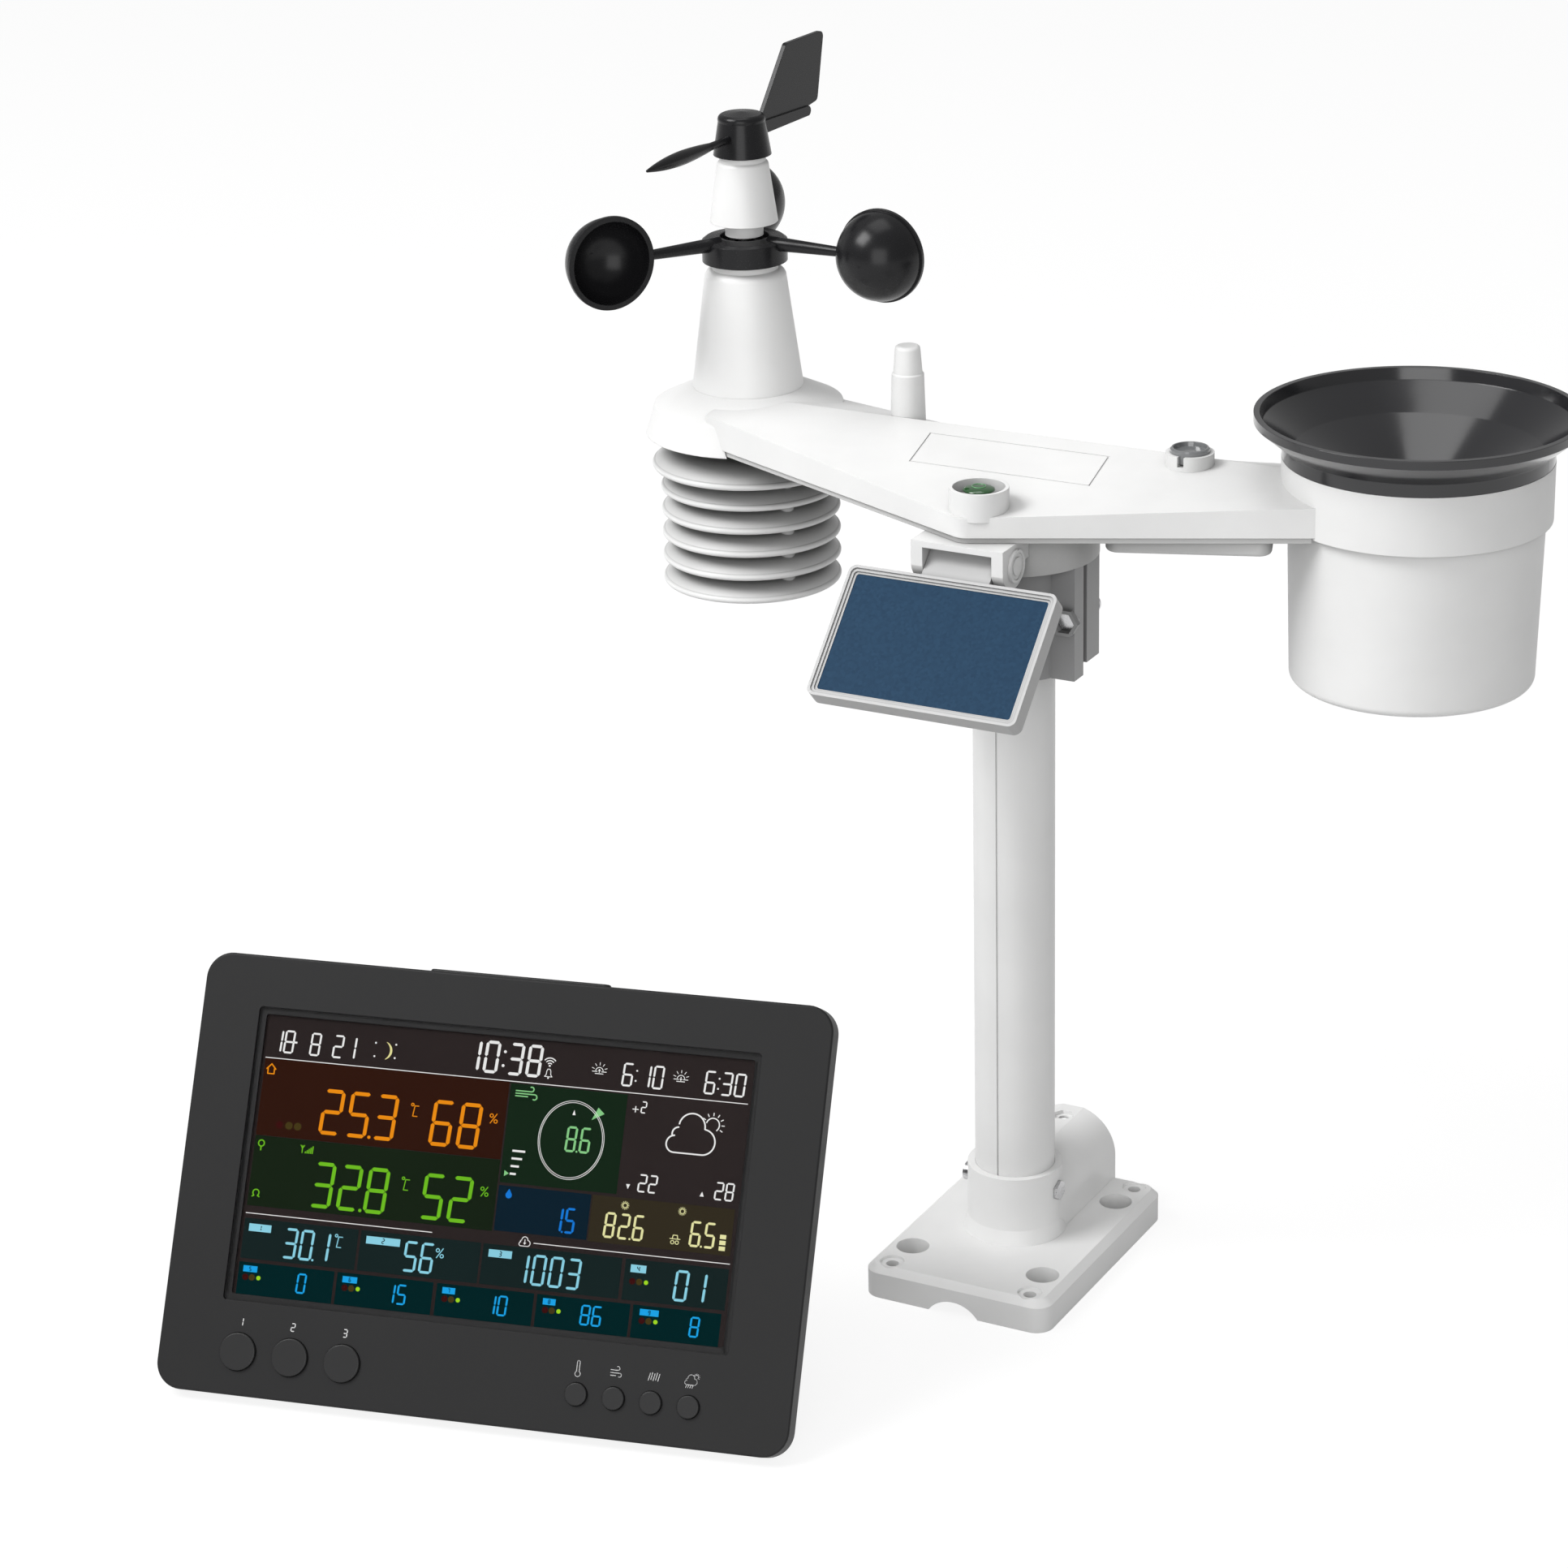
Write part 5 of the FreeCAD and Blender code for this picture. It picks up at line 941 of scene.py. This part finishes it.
for u in (74.0, 75.8):
    yellow.arc(u, -17.0, 0.65, 0, 360, 0.26, 12)
yellow.finish(glow("lit yellow film", (0.82, 0.80, 0.40)))

# %% [markdown]
# Rain is the one deep blue reading. The drop beside it is most of a circle, closed by its tip.

# %% Rain reading
blue = Marks("lit_blue", LIT)
seven_bars(blue, "1.5", 25.7, LOW_LINE, (4.1, 9.8), 5.0, LOW_BAR)
DROP_RADIUS = 1.25
drop = [(7.6 + DROP_RADIUS * math.cos(math.radians(a)),
         -5.8 + DROP_RADIUS * math.sin(math.radians(a))) for a in range(140, 401, 20)]
blue.tile(drop + [(7.6, -3.4)])
blue.finish(glow("lit blue film", (0.010, 0.20, 0.72)))

# %% [markdown]
# The two rows of air readings are paler blue above and sky blue below. Each zone has a small bright
# plate, where this display prints a plain number.

# %% Air readings
AIR_FIGURE, AIR_BAR, AIR_LINE = (5.4, 11.8), 0.98, -38.9
AIR_READINGS = (("30.1", -80.6, 6.65), ("56", -31.6, 6.6), ("1003", 13.1, 6.9), ("01", 76.4, 7.0))
pale_blue = Marks("lit_pale_blue", LIT)
for text, u, pitch in AIR_READINGS:
    seven_bars(pale_blue, text, u, AIR_LINE, AIR_FIGURE, pitch, AIR_BAR)
degree_sign(pale_blue, -59.8, -32.7)
percent_sign(pale_blue, -18.6, -32.5)
PLATES_AIR = ((-95.2, -86.1), (-47.1, -33.4), (2.4, 11.7), (59.0, 65.1))
for u0, u1 in PLATES_AIR:
    pale_blue.block(u0, -29.8, u1, -26.9)
pale_blue.finish(glow("lit pale blue film", (0.27, 0.66, 0.80)))

# %% [markdown]
# The lower row is the same once more, smaller and in a stronger blue.

# %% Gas readings
GAS_FIGURE, GAS_BAR, GAS_LINE, GAS_PITCH = (3.8, 7.8), 0.7, -51.7, 4.55
GAS_READINGS = (("0", -73.3), ("15", -37.0), ("10", 3.6), ("86", 41.2), ("8", 84.2))
sky_blue = Marks("lit_sky_blue", LIT)
for text, u in GAS_READINGS:
    seven_bars(sky_blue, text, u, GAS_LINE, GAS_FIGURE, GAS_PITCH, GAS_BAR)
PLATES_GAS = ((-95.4, -89.7), (-54.7, -48.8), (-14.2, -9.1), (26.1, 31.1), (64.5, 71.9))
for u0, u1 in PLATES_GAS:
    sky_blue.block(u0, -45.5, u1, -43.1)
sky_blue.finish(glow("lit sky blue film", (0.013, 0.38, 0.83)))

# %% [markdown]
# The numbers on the plates are dark and lie on top of them. They run from 1 to 9 over both rows.

# %% Plate numbers
PLATE_PRINT = 0.05
plate_numbers = Marks("plate_numbers", LIT - MARK_THICKNESS, PLATE_PRINT)
for number, (u0, u1) in enumerate(PLATES_AIR, start=1):
    middle = (u0 + u1) / 2
    seven_bars(plate_numbers, str(number), middle - 0.6, -29.45, (1.2, 2.2), 1.8, 0.36)
for number, (u0, u1) in enumerate(PLATES_GAS, start=5):
    middle = (u0 + u1) / 2
    seven_bars(plate_numbers, str(number), middle - 0.5, -45.2, (1.0, 1.8), 1.4, 0.3)
plate_numbers.finish(glow("dark plate print", (0.003, 0.010, 0.014)))

# %% [markdown]
# ## Air quality lamps
# Below each plate of the lower row, and below the last one of the upper row, are three round lamps:
# red, amber and green. Only the green one is lit, so the others are nearly as dark as their zone.
# The indoor zone has three larger unlit ones.

# %% Air quality lamps
LAMP_STEP = 2.7
LAMP_ROWS = ((-91.5, -47.5), (-50.8, -47.5), (-10.3, -47.5), (30.0, -47.5), (68.3, -47.5),
             (62.9, -33.2))
LAMP_COLOURS = {"red": (0.045, 0.006, 0.006), "amber": (0.060, 0.042, 0.010),
                "green": (0.36, 0.72, 0.02)}
LAMP_RADIUS = {"red": 1.25, "amber": 1.25, "green": 0.85}
INDOOR_LAMPS = {"red": (-88.1,), "amber": (-84.2, -80.6), "green": ()}
for place, (name, colour) in enumerate(LAMP_COLOURS.items()):
    dots = Marks("air_lamp_" + name, LIT)
    for u, v in LAMP_ROWS:
        dots.dot(u + (place - 1) * LAMP_STEP, v, LAMP_RADIUS[name], 16)
    for u in INDOOR_LAMPS[name]:
        dots.dot(u, 12.0, 1.5, 18)
    dots.finish(glow("air lamp " + name, colour))

# %% [markdown]
# ## Printed marks on the bezel
# The keys are marked in pale print: plain numbers over the three round keys, and small weather
# signs over the four small ones.

# %% Bezel print
PRINT_THICKNESS = 0.04
PRINT_LINE, FINE_LINE = 0.28, 0.22
SIGN_V = -65.6              # height of the middle of the signs
pale_print = moulded_plastic("pale bezel print", (0.62, 0.62, 0.62), 0.5, grain=0.0)
bezel = Marks("bezel_print", 0.0, PRINT_THICKNESS, 1.0)
for number, u in enumerate((-89.4, -68.9, -48.4), start=1):
    seven_bars(bezel, str(number), u - 0.9, -64.1, (1.8, 3.2), 2.4, 0.4)
# thermometer
bezel.arc(42.2, SIGN_V - 1.9, 1.0, 120, 420, PRINT_LINE, 14)
bezel.line([(41.7, SIGN_V - 1.0), (41.7, SIGN_V + 2.4)], PRINT_LINE)
bezel.line([(42.7, SIGN_V - 1.0), (42.7, SIGN_V + 2.4)], PRINT_LINE)
bezel.arc(42.2, SIGN_V + 2.4, 0.5, 0, 180, PRINT_LINE, 8)
# wind
for lift, reach in ((1.0, 2.6), (0.0, 3.4), (-1.0, 2.0)):
    bezel.line([(54.6, SIGN_V + lift), (54.6 + reach, SIGN_V + lift)], PRINT_LINE)
bezel.arc(57.2, SIGN_V + 1.7, 0.7, -90, 120, PRINT_LINE, 8)
bezel.arc(58.0, SIGN_V - 0.7, 0.7, -120, 90, PRINT_LINE, 8)
# rain
for k in range(5):
    foot_u, foot_v = 69.0 + 0.9 * k, SIGN_V - 1.3 + 0.3 * (k % 2)
    bezel.line([(foot_u, foot_v), (foot_u + 0.5, foot_v + 2.6)], PRINT_LINE)
# cloud, sun and drizzle
cloud_outline(bezel, 85.0, SIGN_V + 0.6, 4.6, PRINT_LINE)
small_sun(bezel, 86.9, SIGN_V + 1.7, 0.7, FINE_LINE, -45, 165)
for k in range(4):
    bezel.line([(83.2 + 0.8 * k, SIGN_V - 2.4), (83.5 + 0.8 * k, SIGN_V - 1.4)], FINE_LINE)
bezel.finish(pale_print, "key_plastic")
